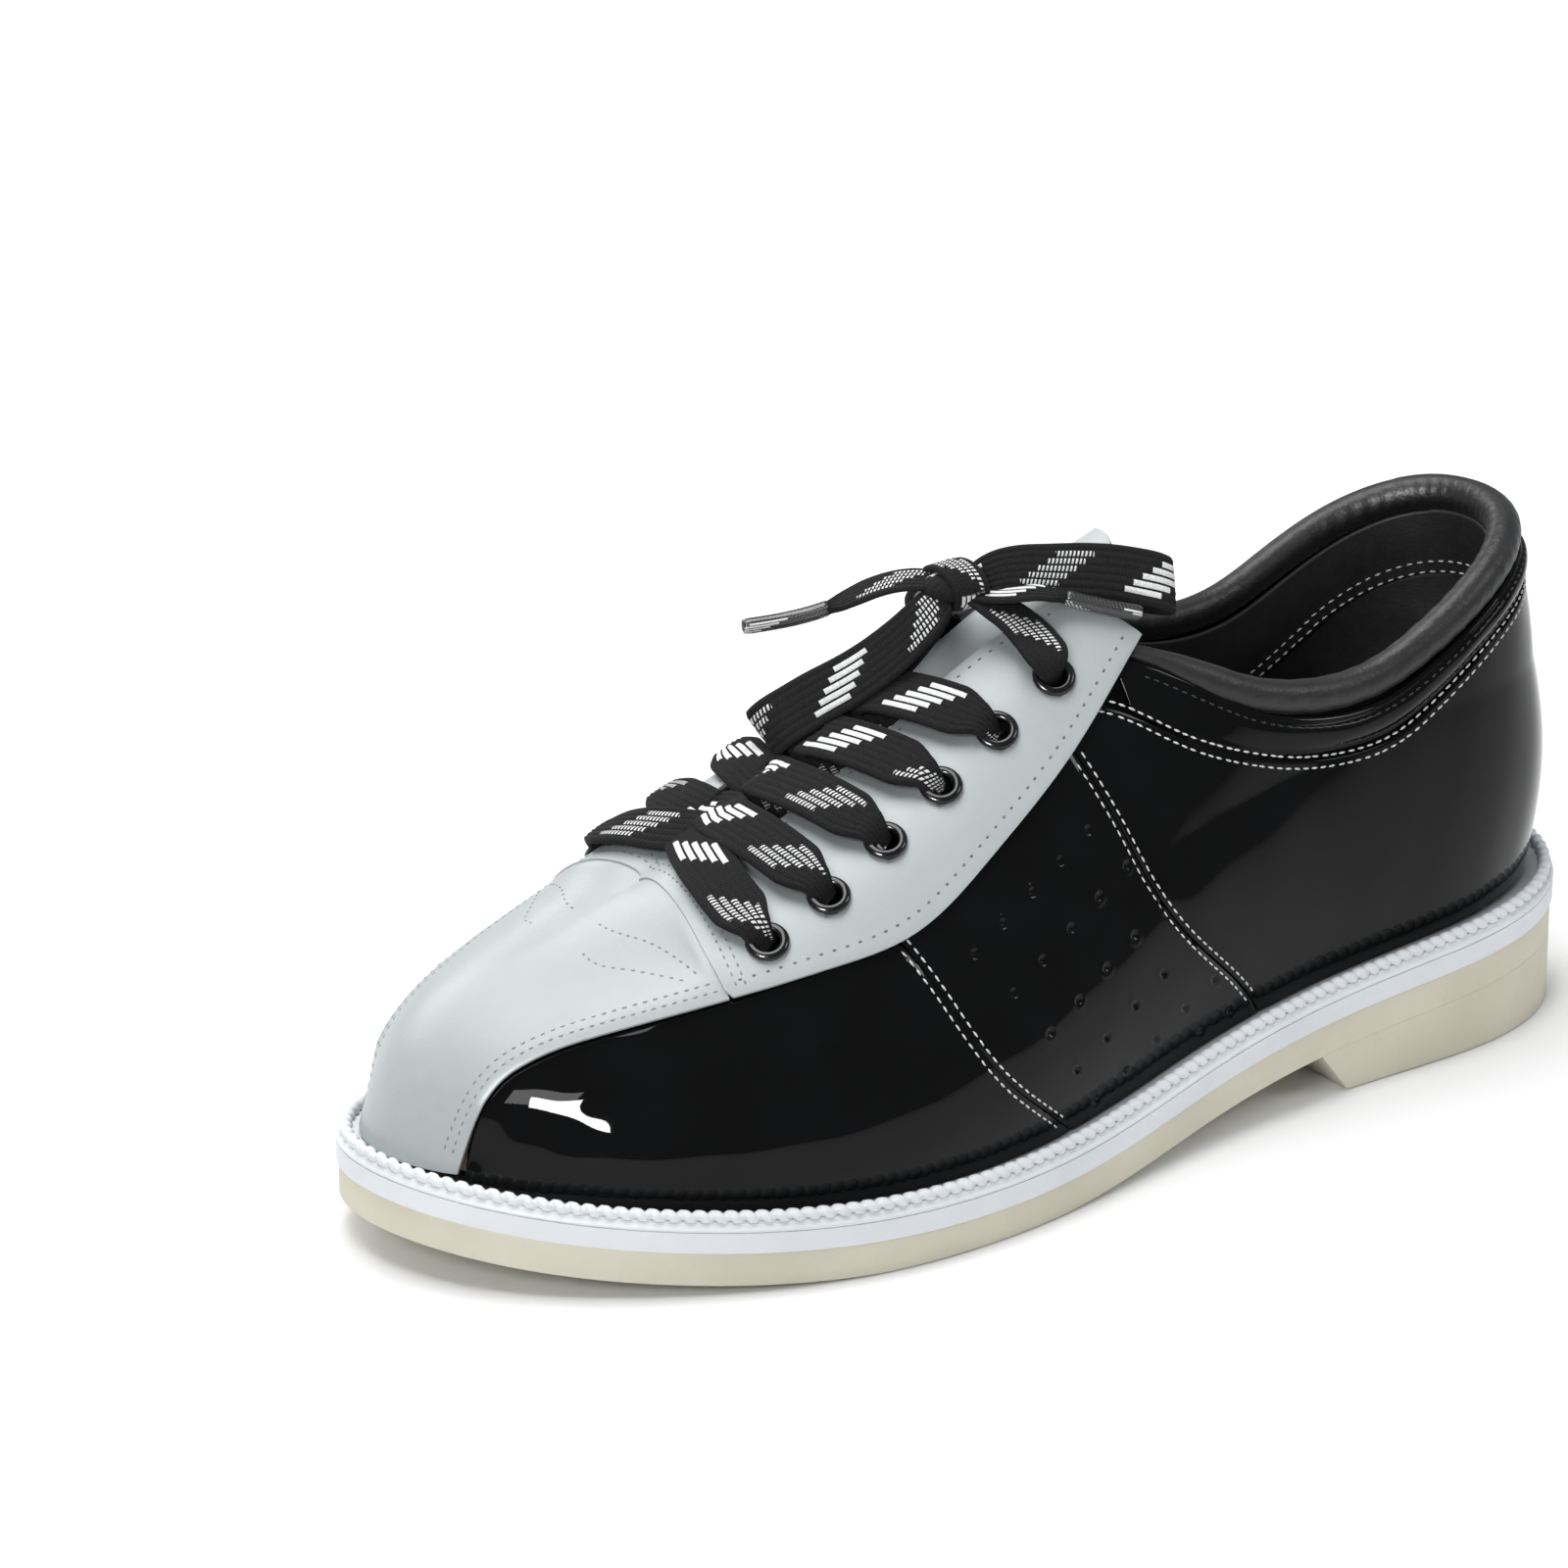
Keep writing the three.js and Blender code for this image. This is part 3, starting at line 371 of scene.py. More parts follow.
def lace(name, path, ups, width, thickness, start=0.0, closed=False):
    path = np.asarray(path, float)
    count = len(path)
    along = directions(path, closed)
    ups = np.broadcast_to(np.asarray(ups, float), path.shape)
    side = np.cross(along, ups)
    side /= np.linalg.norm(side, axis=1, keepdims=True)
    up = np.cross(side, along)
    turn = np.linspace(0, math.tau, AROUND, endpoint=False)
    width, thickness = np.broadcast_to(width, count), np.broadcast_to(thickness, count)
    lateral = np.cos(turn)[None, :] * width[:, None] / 2
    ribbed = 1 + np.cos(np.cos(turn) * math.pi * RIBS) * RIB_DEPTH / LACE_THICK * 2
    height = (np.sign(np.sin(turn)) * np.abs(np.sin(turn)) ** 0.45 * ribbed)[None, :]
    height = height * thickness[:, None] / 2
    rings = path[:, None] + side[:, None] * lateral[..., None] + up[:, None] * height[..., None]
    run = np.r_[0, np.cumsum(np.linalg.norm(np.diff(path, axis=0), axis=1))]
    flat_across = np.cos(turn)[None, :] * np.full((count, 1), LACE_WIDTH / 2)
    return tube(name, rings, flat_across, start + run, closed)


# %% [markdown]
# ## The bow
# The two loops and the two tails are free cord that hangs clear of the shoe. A loop goes out over a
# finger and comes back below itself, so its upper and lower runs lie a few millimetres apart and meet
# in a round fold. Each tail runs from inside the knot through its clear tip.

# %% Routes of the bow, from the shoe's own frame
SHIFT = np.array([-ORIGIN[0], -ORIGIN[1], 0.0])


def route(*points):
    return np.array(points) * MM + SHIFT


KNOT = route((-5, 0, 116.4))[0]
LOOP_OUTER = route((-1, -2.5, 117.2), (4.1, -4.1, 118.6), (12, -7, 118.2), (21, -10, 117),
                   (30, -13, 115.2), (36, -15.6, 113.4))
LOOP_INNER = route((-9, -1, 114.5), (-13.2, -1.5, 111), (-19, 0.5, 104.9), (-27, 4, 98.5),
                   (-35, 8, 93.6), (-42, 11.2, 89))
TAIL_OUTER = route((-5, 0, 116.2), (2.6, -8.2, 116), (7.5, -11.6, 116.4), (12.5, -14.6, 115),
                   (26.7, -22.9, 110.8))
TAIL_INNER = route((-5, 0, 116.6), (-11.3, 4.6, 117.6), (-19.5, 11, 114.8), (-25.4, 15, 111.3),
                   (-42.6, 21.9, 108.2))
TOWARDS_FRONT = np.array([-0.45, -0.72, 0.53])
FORWARDS_UP = np.array([-0.4, -0.62, 0.68])
UPWARDS = np.array([0.0, -0.15, 1.0])


def there_and_back(middle, up, apart):
    """A loop's line: out above its middle line, round a fold, and back below it."""
    along = directions(middle)
    across = np.cross(along, up)
    lift = np.cross(across, along)
    lift /= np.linalg.norm(lift, axis=1, keepdims=True)
    share = np.linspace(0, 1, len(middle))[:, None]
    spread = apart * (0.35 + 0.65 * np.sin(share * math.pi * 0.75) ** 0.8)
    out, back = middle + lift * spread, middle - lift * spread
    fold = middle[-1:] + along[-1:] * spread[-1:] * 1.15
    return np.vstack([out, fold, back[::-1]])


# %% Loops
LOOP_STEPS, LOOP_GATHERED, LOOP_SPREAD = 130, 0.62, 1.34


def bow_loop(name, points, up, apart, start):
    middle = smooth_path(points, 9)
    path = smooth_path(there_and_back(middle, up, apart), LOOP_STEPS)
    along = directions(path)
    across = np.cross(directions(middle).mean(0), up)
    ups = np.cross(across, along)
    share = np.linspace(0, 1, len(path))
    gathered = np.sin(share * math.pi) ** 0.35
    width = LACE_WIDTH * lerp(LOOP_GATHERED, LOOP_SPREAD, gathered)
    piece = lace(name, path, ups, width, LACE_THICK * lerp(1.5, 1, gathered), start)
    length = np.linalg.norm(np.diff(path, axis=0), axis=1).sum()
    print(name, "is", round(length / MM, 1), "mm of lace")
    return piece, path, length


outer_loop, outer_loop_path, outer_loop_length = bow_loop(
    "bow_loop_outer", LOOP_OUTER, TOWARDS_FRONT, 3.4 * MM, 0.004)
inner_loop, inner_loop_path, inner_loop_length = bow_loop(
    "bow_loop_inner", LOOP_INNER, FORWARDS_UP, 2.6 * MM, 0.017)

# %% Tails and their tips
TAIL_WIDTH = 0.7 * LACE_WIDTH


def bow_tail(name, points, start):
    path = smooth_path(points, 70)
    run = np.r_[0, np.cumsum(np.linalg.norm(np.diff(path, axis=0), axis=1))]
    tip_start = run[-1] - np.linalg.norm(points[-1] - points[-2])
    rolled = ease((run - tip_start + 3 * MM) / (5 * MM))
    spread = ease(run / (8 * MM)) * ease((tip_start - run) / (9 * MM))
    width = lerp(TAIL_WIDTH, 2.4 * MM, rolled) + 3.2 * MM * spread
    thick = lerp(LACE_THICK, 2.2 * MM, rolled)
    piece = lace(name, path, UPWARDS, width, thick, start)
    print(name, "is", round(run[-1] / MM, 1), "mm long")
    return piece, path, run[-1]


def aglet(name, path, long):
    """A thin clear tube shrunk over the end of the lace."""
    run = np.r_[0, np.cumsum(np.linalg.norm(np.diff(path, axis=0), axis=1))]
    path = path[run > run[-1] - long]
    along = directions(path)
    side = np.cross(along, UPWARDS)
    side /= np.linalg.norm(side, axis=1, keepdims=True)
    up = np.cross(side, along)
    turn = np.linspace(0, math.tau, 24, endpoint=False)
    share = np.linspace(0, 1, len(path))
    radius = AGLET / 2 * (1 - 0.12 * ease((share - 0.94) / 0.06) - 0.1 * ease((0.05 - share) / 0.05))
    radius = radius[:, None, None]
    rings = (path[:, None] + side[:, None] * np.cos(turn)[None, :, None] * radius
             + up[:, None] * np.sin(turn)[None, :, None] * radius)
    across = np.sin(turn)[None, :] * np.full((len(path), 1), LACE_WIDTH / 2)
    return tube(name, rings, across, run[run > run[-1] - long])


outer_tail, outer_tail_path, outer_tail_length = bow_tail("bow_tail_outer", TAIL_OUTER, 0.031)
inner_tail, inner_tail_path, inner_tail_length = bow_tail("bow_tail_inner", TAIL_INNER, 0.009)
outer_tip = aglet("tip_outer", outer_tail_path, 16.5 * MM)
inner_tip = aglet("tip_inner", inner_tail_path, 18.7 * MM)

for piece, path, long, wide, end, parts, node in (
        (outer_loop, outer_loop_path, outer_loop_length, LACE_WIDTH, "object", [], "lace_loop_outer"),
        (inner_loop, inner_loop_path, inner_loop_length, LACE_WIDTH, "object", [], "lace_loop_inner"),
        (outer_tail, outer_tail_path, outer_tail_length, TAIL_WIDTH, "fitting", [outer_tip],
         "lace_tail_outer"),
        (inner_tail, inner_tail_path, inner_tail_length, TAIL_WIDTH, "fitting", [inner_tip],
         "lace_tail_inner")):
    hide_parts(node)
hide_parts("aglet_outer")
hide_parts("aglet_inner")
laces = [outer_loop, inner_loop, outer_tail, inner_tail]
tips = [outer_tip, inner_tip]

# %% [markdown]
# ## Lacing over the throat
# Each strand comes up out of an eyelet, spreads flat, crosses the tongue and dips below the far
# edge of the facing. The strands from the outer side lie on top of those from the inner side.

# %% Eyelet places
EYELET_PAIRS = 6
FIRST_EYELET, LAST_EYELET = 55.5, 92.8
eyelet_t = spline([(55.5, .585), (63.5, .625), (70.8, .665), (78.2, .69), (85.5, .70), (92.8, .70)])
eyelet_angles = np.linspace(FIRST_EYELET, LAST_EYELET, EYELET_PAIRS)
PITCH = eyelet_angles[1] - eyelet_angles[0]

# %% Strands
IN_THE_HOLE = -0.4 * MM
STRAND_STEPS, STRAND_WIDE = 90, 12.2 * MM
LEAN, BAR_BOW = -1.0, -5.0


def strand(name, side, i, drift, level, far_t, start, bar=False):
    angle = eyelet_angles[i]
    start_t = float(eyelet_t(angle))
    half, total = 1 - start_t, (1 - start_t) + (1 - far_t)
    p = np.linspace(0, 1, 4000)
    run = p * total
    past = run > half
    t = np.where(past, 1 - (run - half), start_t + run)
    degrees = angle + drift * PITCH * np.minimum(1, p * 1.5) ** 0.9
    if bar:
        degrees = angle + BAR_BOW * np.sin(math.pi * p) ** 0.8
    degrees = np.where(past, 360 - mirrored(degrees, side), mirrored(degrees, side))
    points = on_skin(degrees, t)
    walked = np.r_[0, np.cumsum(np.linalg.norm(np.diff(points, axis=0), axis=1))]
    keep = np.searchsorted(walked, np.linspace(0, walked[-1], STRAND_STEPS)).clip(0, len(p) - 1)
    degrees, t, walked, past = degrees[keep], t[keep], walked[keep], past[keep]
    rise = ease(walked / (0.8 * EYELET_FLANGE))
    off = lerp(LACE_ON_EYELET, level, np.where(past, 1, ease((t - start_t) / 0.2)))
    gather = ease(walked / (9 * MM))
    if bar:
        rise = rise * rise[::-1]
        off = np.full(len(t), LACE_ON_EYELET)
        gather = gather * gather[::-1]
    else:
        dip = ease((walked - (walked[-1] - 13 * MM)) / (12 * MM))
        off = lerp(off, -0.9 * MM, dip)
    off = lerp(IN_THE_HOLE, off, rise)
    path = on_skin(degrees, t, off)
    ups = skin_normal(np.radians(degrees), t)
    width = lerp(5.4 * MM, STRAND_WIDE, gather)
    thick = lerp(2.8 * MM, LACE_THICK * 1.2, gather)
    return lace(name, path, ups, width, thick, start)


strands = [strand("strand_bar", 1, 0, 0, LACE_ON_EYELET, float(eyelet_t(FIRST_EYELET)), 0.012, bar=True)]
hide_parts("lace_bar")
for i in range(1, EYELET_PAIRS - 1):
    under = strand(f"strand_under_{i + 1}", -1, i, LEAN, LACE_LOW, 0.88, draw.uniform(0, 0.05))
    over = strand(f"strand_over_{i + 1}", 1, i, LEAN, LACE_HIGH, 0.88, draw.uniform(0, 0.05))
    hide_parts(f"lace_under_{i + 1}")
    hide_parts(f"lace_over_{i + 1}")
    strands += [under, over]
print(len(strands), "strands")

# %% Ends from the last eyelets to the knot
END_OUTER = route((3.8, -15.2, 109), (0.6, -9.2, 113), (-3, -3, 115.4))
END_INNER = route((-1, 15, 110), (-3, 9.4, 113.4), (-5, 3, 115.6))


def lace_end(name, side, points, start):
    angle = mirrored(LAST_EYELET, side)
    t = float(eyelet_t(LAST_EYELET))
    foot, up = on_skin(angle, t, IN_THE_HOLE), skin_normal(math.radians(angle), t)
    lifted = on_skin(angle, t, LACE_ON_EYELET - 0.5 * MM) + (points[0] - foot) * 0.16
    path = smooth_path(np.vstack([foot, lifted, points]), 60)
    share = np.linspace(0, 1, len(path))
    ups = up * (1 - share[:, None]) + np.array([0.1, -0.25 * side, 1.0]) * share[:, None]
    gather = ease(share / 0.3) * lerp(1, 0.55, ease((share - 0.75) / 0.25))
    return lace(name, path, ups, lerp(4.4 * MM, 10 * MM, gather), lerp(2.3 * MM, LACE_THICK, gather), start)


outer_end = lace_end("lace_end_piece_outer", 1, END_OUTER, 0.006)
inner_end = lace_end("lace_end_piece_inner", -1, END_INNER, 0.02)
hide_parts("lace_end_outer")
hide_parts("lace_end_inner")

# %% [markdown]
# ## The knot
# A bow's knot is the lace wrapped once round the root of the loops. It is made as a short core with
# a closed band of lace pulled round it.

# %% Core and wrap of the knot
CORE_RADII = (7.2 * MM, 5.2 * MM, 3.4 * MM, 1)
bm = bmesh.new()
bmesh.ops.create_icosphere(bm, subdivisions=4, radius=1.0)
bmesh.ops.transform(bm, verts=bm.verts[:], matrix=Matrix.Translation(KNOT)
                    @ Matrix.Diagonal(CORE_RADII))
uv = bm.loops.layers.uv.new("UVMap")
for face in bm.faces:
    for loop in face.loops:
        loop[uv].uv = loop.vert.co.x + loop.vert.co.z * 0.4, (loop.vert.co.y - KNOT[1]) * 0.8
knot_core = piece_from(bm, "knot_core")

BOW_LINE = np.array([0.92, -0.34, 0.18]) / np.linalg.norm([0.92, -0.34, 0.18])


def wrap(name, centre, wide, tall, lean, start):
    """One turn of lace round the bow's line."""
    flat = np.cross(BOW_LINE, [0, 0, 1.0])
    flat /= np.linalg.norm(flat)
    upright = np.cross(flat, BOW_LINE)
    turn = np.linspace(0, math.tau, 90, endpoint=False)[:, None]
    path = (centre + flat * np.cos(turn) * wide + upright * np.sin(turn) * tall
            + BOW_LINE * np.cos(turn) * lean)
    ups = flat * np.cos(turn) * tall + upright * np.sin(turn) * wide
    return lace(name, path, ups, 7.4 * MM, 1.7 * MM, start, closed=True)


knot_wrap = wrap("knot_wrap", KNOT + np.array([0.6, 0, 0.1]) * MM, 6.1 * MM, 4.3 * MM, 2.2 * MM, 0.013)
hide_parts("lace_knot")
laces += [*strands, outer_end, inner_end, knot_core, knot_wrap]
print(len(laces), "pieces of lace")

# %% [markdown]
# ## Leather pieces on the last
# A leather piece is a grid with a thickness: the flat grid is extruded into a slab, and then each of
# its points goes to its angle, height and layer on the last. The cut edges are bevelled a little, as
# leather edges are, so they catch the light.

# %% A shaped piece of leather
EDGE_ROUND = 0.35 * MM
SHARP = math.radians(50)


def round_edges(bm, radius, segments=2):
    sharp = [e for e in bm.edges if len(e.link_faces) == 2 and e.calc_face_angle() > SHARP]
    bmesh.ops.bevel(bm, geom=sharp, offset=radius, offset_type="OFFSET", segments=segments,
                    profile=0.5, affect="EDGES", material=-1, clamp_overlap=True)


def slab_grid(cols, rows):
    """A flat slab of one grid on another. Returns it with each point's shares and its side."""
    bm = bmesh.new()
    bmesh.ops.create_grid(bm, x_segments=cols, y_segments=rows, size=0.5)
    raised = bmesh.ops.extrude_face_region(bm, geom=bm.faces[:])["geom"]
    bmesh.ops.translate(bm, verts=[g for g in raised if isinstance(g, bmesh.types.BMVert)], vec=(0, 0, 1))
    grid = np.array([v.co for v in bm.verts])
    return bm, grid[:, 0] + 0.5, grid[:, 1] + 0.5, grid[:, 2] > 0.5


def shell(name, cols, rows, lay, outer, inner, radius=EDGE_ROUND, relax=0):
    """lay(s, v) gives angle and height; outer and inner are layers, as numbers or functions of s, v.
    relax is how many times the inside of the sheet is eased towards its neighbours."""
    bm, s, v, top = slab_grid(cols, rows)
    degrees, t = lay(s, v)
    high = outer(s, v) if callable(outer) else outer
    low = inner(s, v) if callable(inner) else inner
    place(bm.verts, on_skin(degrees, t, np.where(top, high, low)))
    inside = (np.minimum(s, 1 - s) > 0.03) & (np.minimum(v, 1 - v) > 0.04)
    loose = [vert for vert, free in zip(bm.verts, inside) if free] if relax else []
    for _ in range(relax):
        bmesh.ops.smooth_vert(bm, verts=loose, factor=0.5, use_axis_x=True, use_axis_y=True, use_axis_z=True)
    bmesh.ops.remove_doubles(bm, verts=bm.verts[:], dist=1e-6)
    bmesh.ops.recalc_face_normals(bm, faces=bm.faces[:])
    if radius:
        round_edges(bm, radius)
    return piece_from(bm, name)


# %% [markdown]
# ## Patent panels
# The forepart, mid panel and quarter on each side are cut from patent leather, a hide under a thick
# clear lacquer. The lacquer shows every unevenness of the leather below as a soft ripple in its
# reflections, and it rolls down into the seams, so the faces ripple a little and sink at their edges.

# %% Ripples and seam roll
def ripple(degrees, t, strength=0.045 * MM):
    x, z = np.radians(degrees) * 9, t * 11
    return strength * (np.sin(x * 2.1 + z * 1.3) * np.sin(z * 1.7 - x * 0.8)
                       + 0.5 * np.sin(x * 4.3 - z * 2.9 + 1.0))


def seam_roll(distance, depth=0.35 * MM, reach=0.03):
    return -depth * (1 - ease(distance / reach)) ** 2


# %% The places of the perforations
PERFORATION_ROWS = [5, 5, 5, 5, 5, 2]
HOLE_RADIUS, HOLE_DEPTH = 1.15 * MM, 0.75 * MM


def perforation(row, k):
    """Angle and height of the k-th hole of a slanted row on the mid panel."""
    degrees = 91.14 + 3.527 * row - 3.70 * k - 0.13 * row ** 2
    t = 0.422 - 0.104 * row - 0.0069 * k + 0.0045 * row ** 2 - 0.0017 * k ** 2
    return degrees, t


holes = np.array([perforation(row, k) for row, count in enumerate(PERFORATION_ROWS)
                  for k in range(count)])
print(len(holes), "perforations on each side")


def dimples(degrees, t, side):
    """Depth of the pressed perforations: a round dip with a small raised lip."""
    points = on_skin(mirrored(degrees, side), t)
    centres = on_skin(mirrored(holes[:, 0], side), np.maximum(holes[:, 1], 0.02))
    depth = np.zeros(len(points))
    for centre in centres:
        away = np.linalg.norm(points - centre, axis=1) / HOLE_RADIUS
        depth -= HOLE_DEPTH * (1 - ease(away)) - 0.12 * MM * np.exp(-((away - 1.15) / 0.25) ** 2)
    return depth


# %% Cut and lay the panels
panels = []
HALF_SEAM = math.degrees(GAP / HALF_LENGTH) / 2


def forepart_lay(s, v):
    top_angle = lerp(18, STRIPE_MEETS_FRONT - HALF_SEAM, s)
    t = (stripe_edge(top_angle) + PANEL_LAP * np.minimum(1, s * 6)) * v
    foot_angle = lerp(18, float(front_seam(0)) - HALF_SEAM, s)
    rear = front_seam(t) - HALF_SEAM
    across = lerp(foot_angle, top_angle, v)
    return lerp(across, np.minimum(across, rear), s), np.maximum(t, FIRST_T)


def mid_panel_lay(s, v):
    top = lerp(float(stripe_edge(STRIPE_MEETS_FRONT)) + PANEL_LAP,
               float(collar_line(REAR_SEAM_TOP)) - UNDER_BAND, s)
    t = top * v
    return lerp(front_seam(t) + HALF_SEAM, rear_seam(t) - HALF_SEAM, s), np.maximum(t, FIRST_T)


def quarter_lay(s, v):
    top_angle = lerp(REAR_SEAM_TOP, 180 - HALF_SEAM, s)
    t = (collar_line(top_angle) - UNDER_BAND) * v
    straight = lerp(float(rear_seam(0)), REAR_SEAM_TOP, v)
    curved = rear_seam((float(collar_line(REAR_SEAM_TOP)) - UNDER_BAND) * v) + HALF_SEAM - straight
    return lerp(straight, 180 - HALF_SEAM, s) + curved * (1 - s), np.maximum(t, FIRST_T)


PANELS = {  # lay, columns, rows, whether its front and rear edges are seams, perforated
    "forepart": (forepart_lay, 84, 40, (False, True), False),
    "mid_panel": (mid_panel_lay, 96, 150, (True, True), True),
    "quarter": (quarter_lay, 90, 44, (True, False), False),
}
for side_name, side in SIDES.items():
    for panel, (lay, cols, rows, seams, holed) in PANELS.items():
        def face_of(s, v, lay=lay, seams=seams, holed=holed, side=side):
            degrees, t = lay(s, v)
            face = ripple(degrees, t)
            if seams[0]:
                face = face + seam_roll(s)
            if seams[1]:
                face = face + seam_roll(1 - s)
            return face + (dimples(degrees, t, side) if holed else 0)

        def lay_on_side(s, v, lay=lay, side=side):
            degrees, t = lay(s, v)
            return mirrored(degrees, side), t

        piece = shell(f"patent_{panel}_{side_name}", cols, rows, lay_on_side, face_of, -LEATHER)
        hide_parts(f"{panel}_{side_name}")
        panels.append(piece)
print("patent panels:", [p.name for p in panels])

# %% [markdown]
# ## Toe stripe and lace facing
# The light stripe starts at the toe, widens over the vamp and meets the facing at the cross seam. The
# facing is one U-shaped piece whose arms carry the eyelets. Both share one long outer edge, so the
# same curve places it for both. The eyelet holes are cut through with a Boolean, because they are
# round holes in a sheet that is already curved.

# %% The toe stripe
stripe_centre = spline([(0, 0), (.2, .25), (.4, .55), (.6, .86), (.7, 1), (1, 1)])
stripe_ridge = spline([(0, 0), (.6, 0), (.7, 3), (.85, 22), (1, 41)])
stripe_side = spline([(0, 17.2), (.15, 18.7), (.3, 21.5), (.45, 26), (.65, 35), (.85, 44.5), (1, 50.6)])
CROSS_RIDGE, CROSS_SIDE = 41.0, 51.0


def stripe_lay(s, v):
    w = 2 * v - 1
    side_angle = stripe_side(s)
    middle = np.clip(stripe_centre(s), 0, 1)
    start = np.clip(stripe_ridge(s), 0, CROSS_RIDGE)
    degrees = lerp(start, side_angle - HALF_SEAM, np.abs(w))
    return (np.where(w < 0, 360 - degrees, degrees),
            np.maximum(FIRST_T, lerp(middle, stripe_edge(side_angle), w * w)))


def light_face(s, v):
    """Cut edges of the stripe and the facing are turned down a little."""
    return LIGHT_TOP - 0.25 * MM * (1 - ease(np.minimum(v, 1 - v) / 0.05))


toe_stripe = shell("stripe_over_toe", 110, 70, stripe_lay, light_face, OVER, relax=400)
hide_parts("toe_stripe")

# %% The lace facing
THROAT = 53.0
facing_inner_angle = spline([(0, THROAT), (.1, THROAT + .3), (.25, 56), (.6, 77), (1, 98.5)])
facing_inner_t = spline([(0, 1), (.1, .93), (.25, .885), (.5, .885), (.8, .88), (1, .82)])


def facing_outer(arm):
    front = arm < 0.25
    degrees = np.where(front, lerp(CROSS_RIDGE, CROSS_SIDE, arm / 0.25),
                       lerp(CROSS_SIDE, 102.5, (arm - 0.25) / 0.75))
    t = np.where(front, lerp(1, float(stripe_edge(CROSS_SIDE)), (arm / 0.25) ** 2), stripe_edge(degrees))
    return degrees, t


CROSS_LAP, CROSS_LIFT = 1.1, 0.7 * MM


def facing_lay(s, v):
    arm = np.abs(2 * s - 1)
    outer_angle, outer_t = facing_outer(arm)
    lap = CROSS_LAP * (1 - ease((arm - 0.2) / 0.1))
    degrees = lerp(outer_angle - lap, facing_inner_angle(arm), v)
    t = np.clip(lerp(outer_t, facing_inner_t(arm), v), 0, 1)
    return np.where(s < 0.5, degrees, 360 - degrees), t


def lapped(layer):
    """Where the facing laps over the stripe it lies a little higher."""
    def off(s, v):
        arm = np.abs(2 * s - 1)
        level = layer(s, v) if callable(layer) else layer
        return level + CROSS_LIFT * (1 - ease((arm - 0.22) / 0.1)) * (1 - ease((v - 0.3) / 0.5))
    return off


facing = shell("facing_with_eyelet_holes", 180, 20, facing_lay, lapped(light_face), lapped(OVER), relax=40)


def applied(piece):
    """Keeps a piece's finished shape and drops its modifiers."""
    shaped = piece.evaluated_get(bpy.context.evaluated_depsgraph_get())
    mesh = bpy.data.meshes.new_from_object(shaped)
    piece.modifiers.clear()
    piece.data = mesh
    return piece


def upright_matrix(at, up):
    turn = Vector(up).to_track_quat("Z", "Y").to_matrix().to_4x4()
    return Matrix.Translation(Vector(at)) @ turn


PUNCH_RADIUS, PUNCH_DEPTH = 3.2 * MM, 9 * MM
bm = bmesh.new()
for side in SIDES.values():
    for angle in eyelet_angles:
        degrees, t = mirrored(angle, side), float(eyelet_t(angle))
        upright = upright_matrix(on_skin(degrees, t), skin_normal(math.radians(degrees), t))
        bmesh.ops.create_cone(bm, cap_ends=True, segments=24, radius1=PUNCH_RADIUS,
                              radius2=PUNCH_RADIUS, depth=PUNCH_DEPTH, matrix=upright)
punch = piece_from(bm, "punch")
cut = facing.modifiers.new("eyelet holes", "BOOLEAN")
cut.operation, cut.object, cut.solver = "DIFFERENCE", punch, "EXACT"
applied(facing)
bpy.data.objects.remove(punch)
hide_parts("lace_facing")
print("facing has", len(facing.data.polygons), "faces after its holes are cut")

# %% The heel backstay
BACKSTAY_HALF, BACKSTAY_TAPER = 6.2, 0.86


def backstay_lay(s, v):
    narrow = lerp(1.0, BACKSTAY_TAPER, v)
    return (180 + (2 * s - 1) * BACKSTAY_HALF * narrow,
            np.maximum(FIRST_T, (float(collar_line(180)) + 0.012) * v))


backstay = shell("backstay_strip", 28, 60, backstay_lay, light_face, OVER)
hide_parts("heel_backstay")
print("backstay is", round(backstay.dimensions.z / MM, 1), "mm high")
light_pieces = [toe_stripe, facing, backstay]

# %% [markdown]
# ## Eyelets
# An eyelet is a short tube with a rolled flange, pressed through the facing. Its profile is spun
# round its axis and set upright on the leather.

# %% Twelve enamelled eyelets
def eyelet(name, degrees, t):
    roll = [(EYELET_HOLE, -1.6 * MM), (EYELET_HOLE, LIGHT_TOP + 0.5 * MM), (2.75 * MM, LIGHT_TOP + 0.95 * MM),
            (3.2 * MM, EYELET_TOP), (3.8 * MM, EYELET_TOP), (4.35 * MM, LIGHT_TOP + 0.8 * MM),
            (EYELET_FLANGE, LIGHT_TOP + 0.35 * MM), (4.4 * MM, LIGHT_TOP + 0.02 * MM),
            (3.1 * MM, LIGHT_TOP + 0.02 * MM), (3.0 * MM, -1.6 * MM)]
    bm = bmesh.new()
    verts = [bm.verts.new((r, 0, h)) for r, h in roll]
    edges = [bm.edges.new(pair) for pair in zip(verts, verts[1:] + verts[:1])]
    bmesh.ops.spin(bm, geom=verts + edges, axis=(0, 0, 1), cent=(0, 0, 0), steps=32,
                   angle=math.tau, use_merge=True)
    bmesh.ops.remove_doubles(bm, verts=bm.verts[:], dist=1e-7)
    up = skin_normal(math.radians(degrees), t)
    bmesh.ops.transform(bm, verts=bm.verts[:], matrix=upright_matrix(on_skin(degrees, t), up))
    return piece_from(bm, name)


eyelets = []
for side_name, side in SIDES.items():
    for i, angle in enumerate(eyelet_angles):
        ring = eyelet(f"eyelet_ring_{side_name}_{i + 1}", mirrored(angle, side), float(eyelet_t(angle)))
        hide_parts(f"eyelet_{side_name}_{i + 1}")
        eyelets.append(ring)
print(len(eyelets), "eyelets")

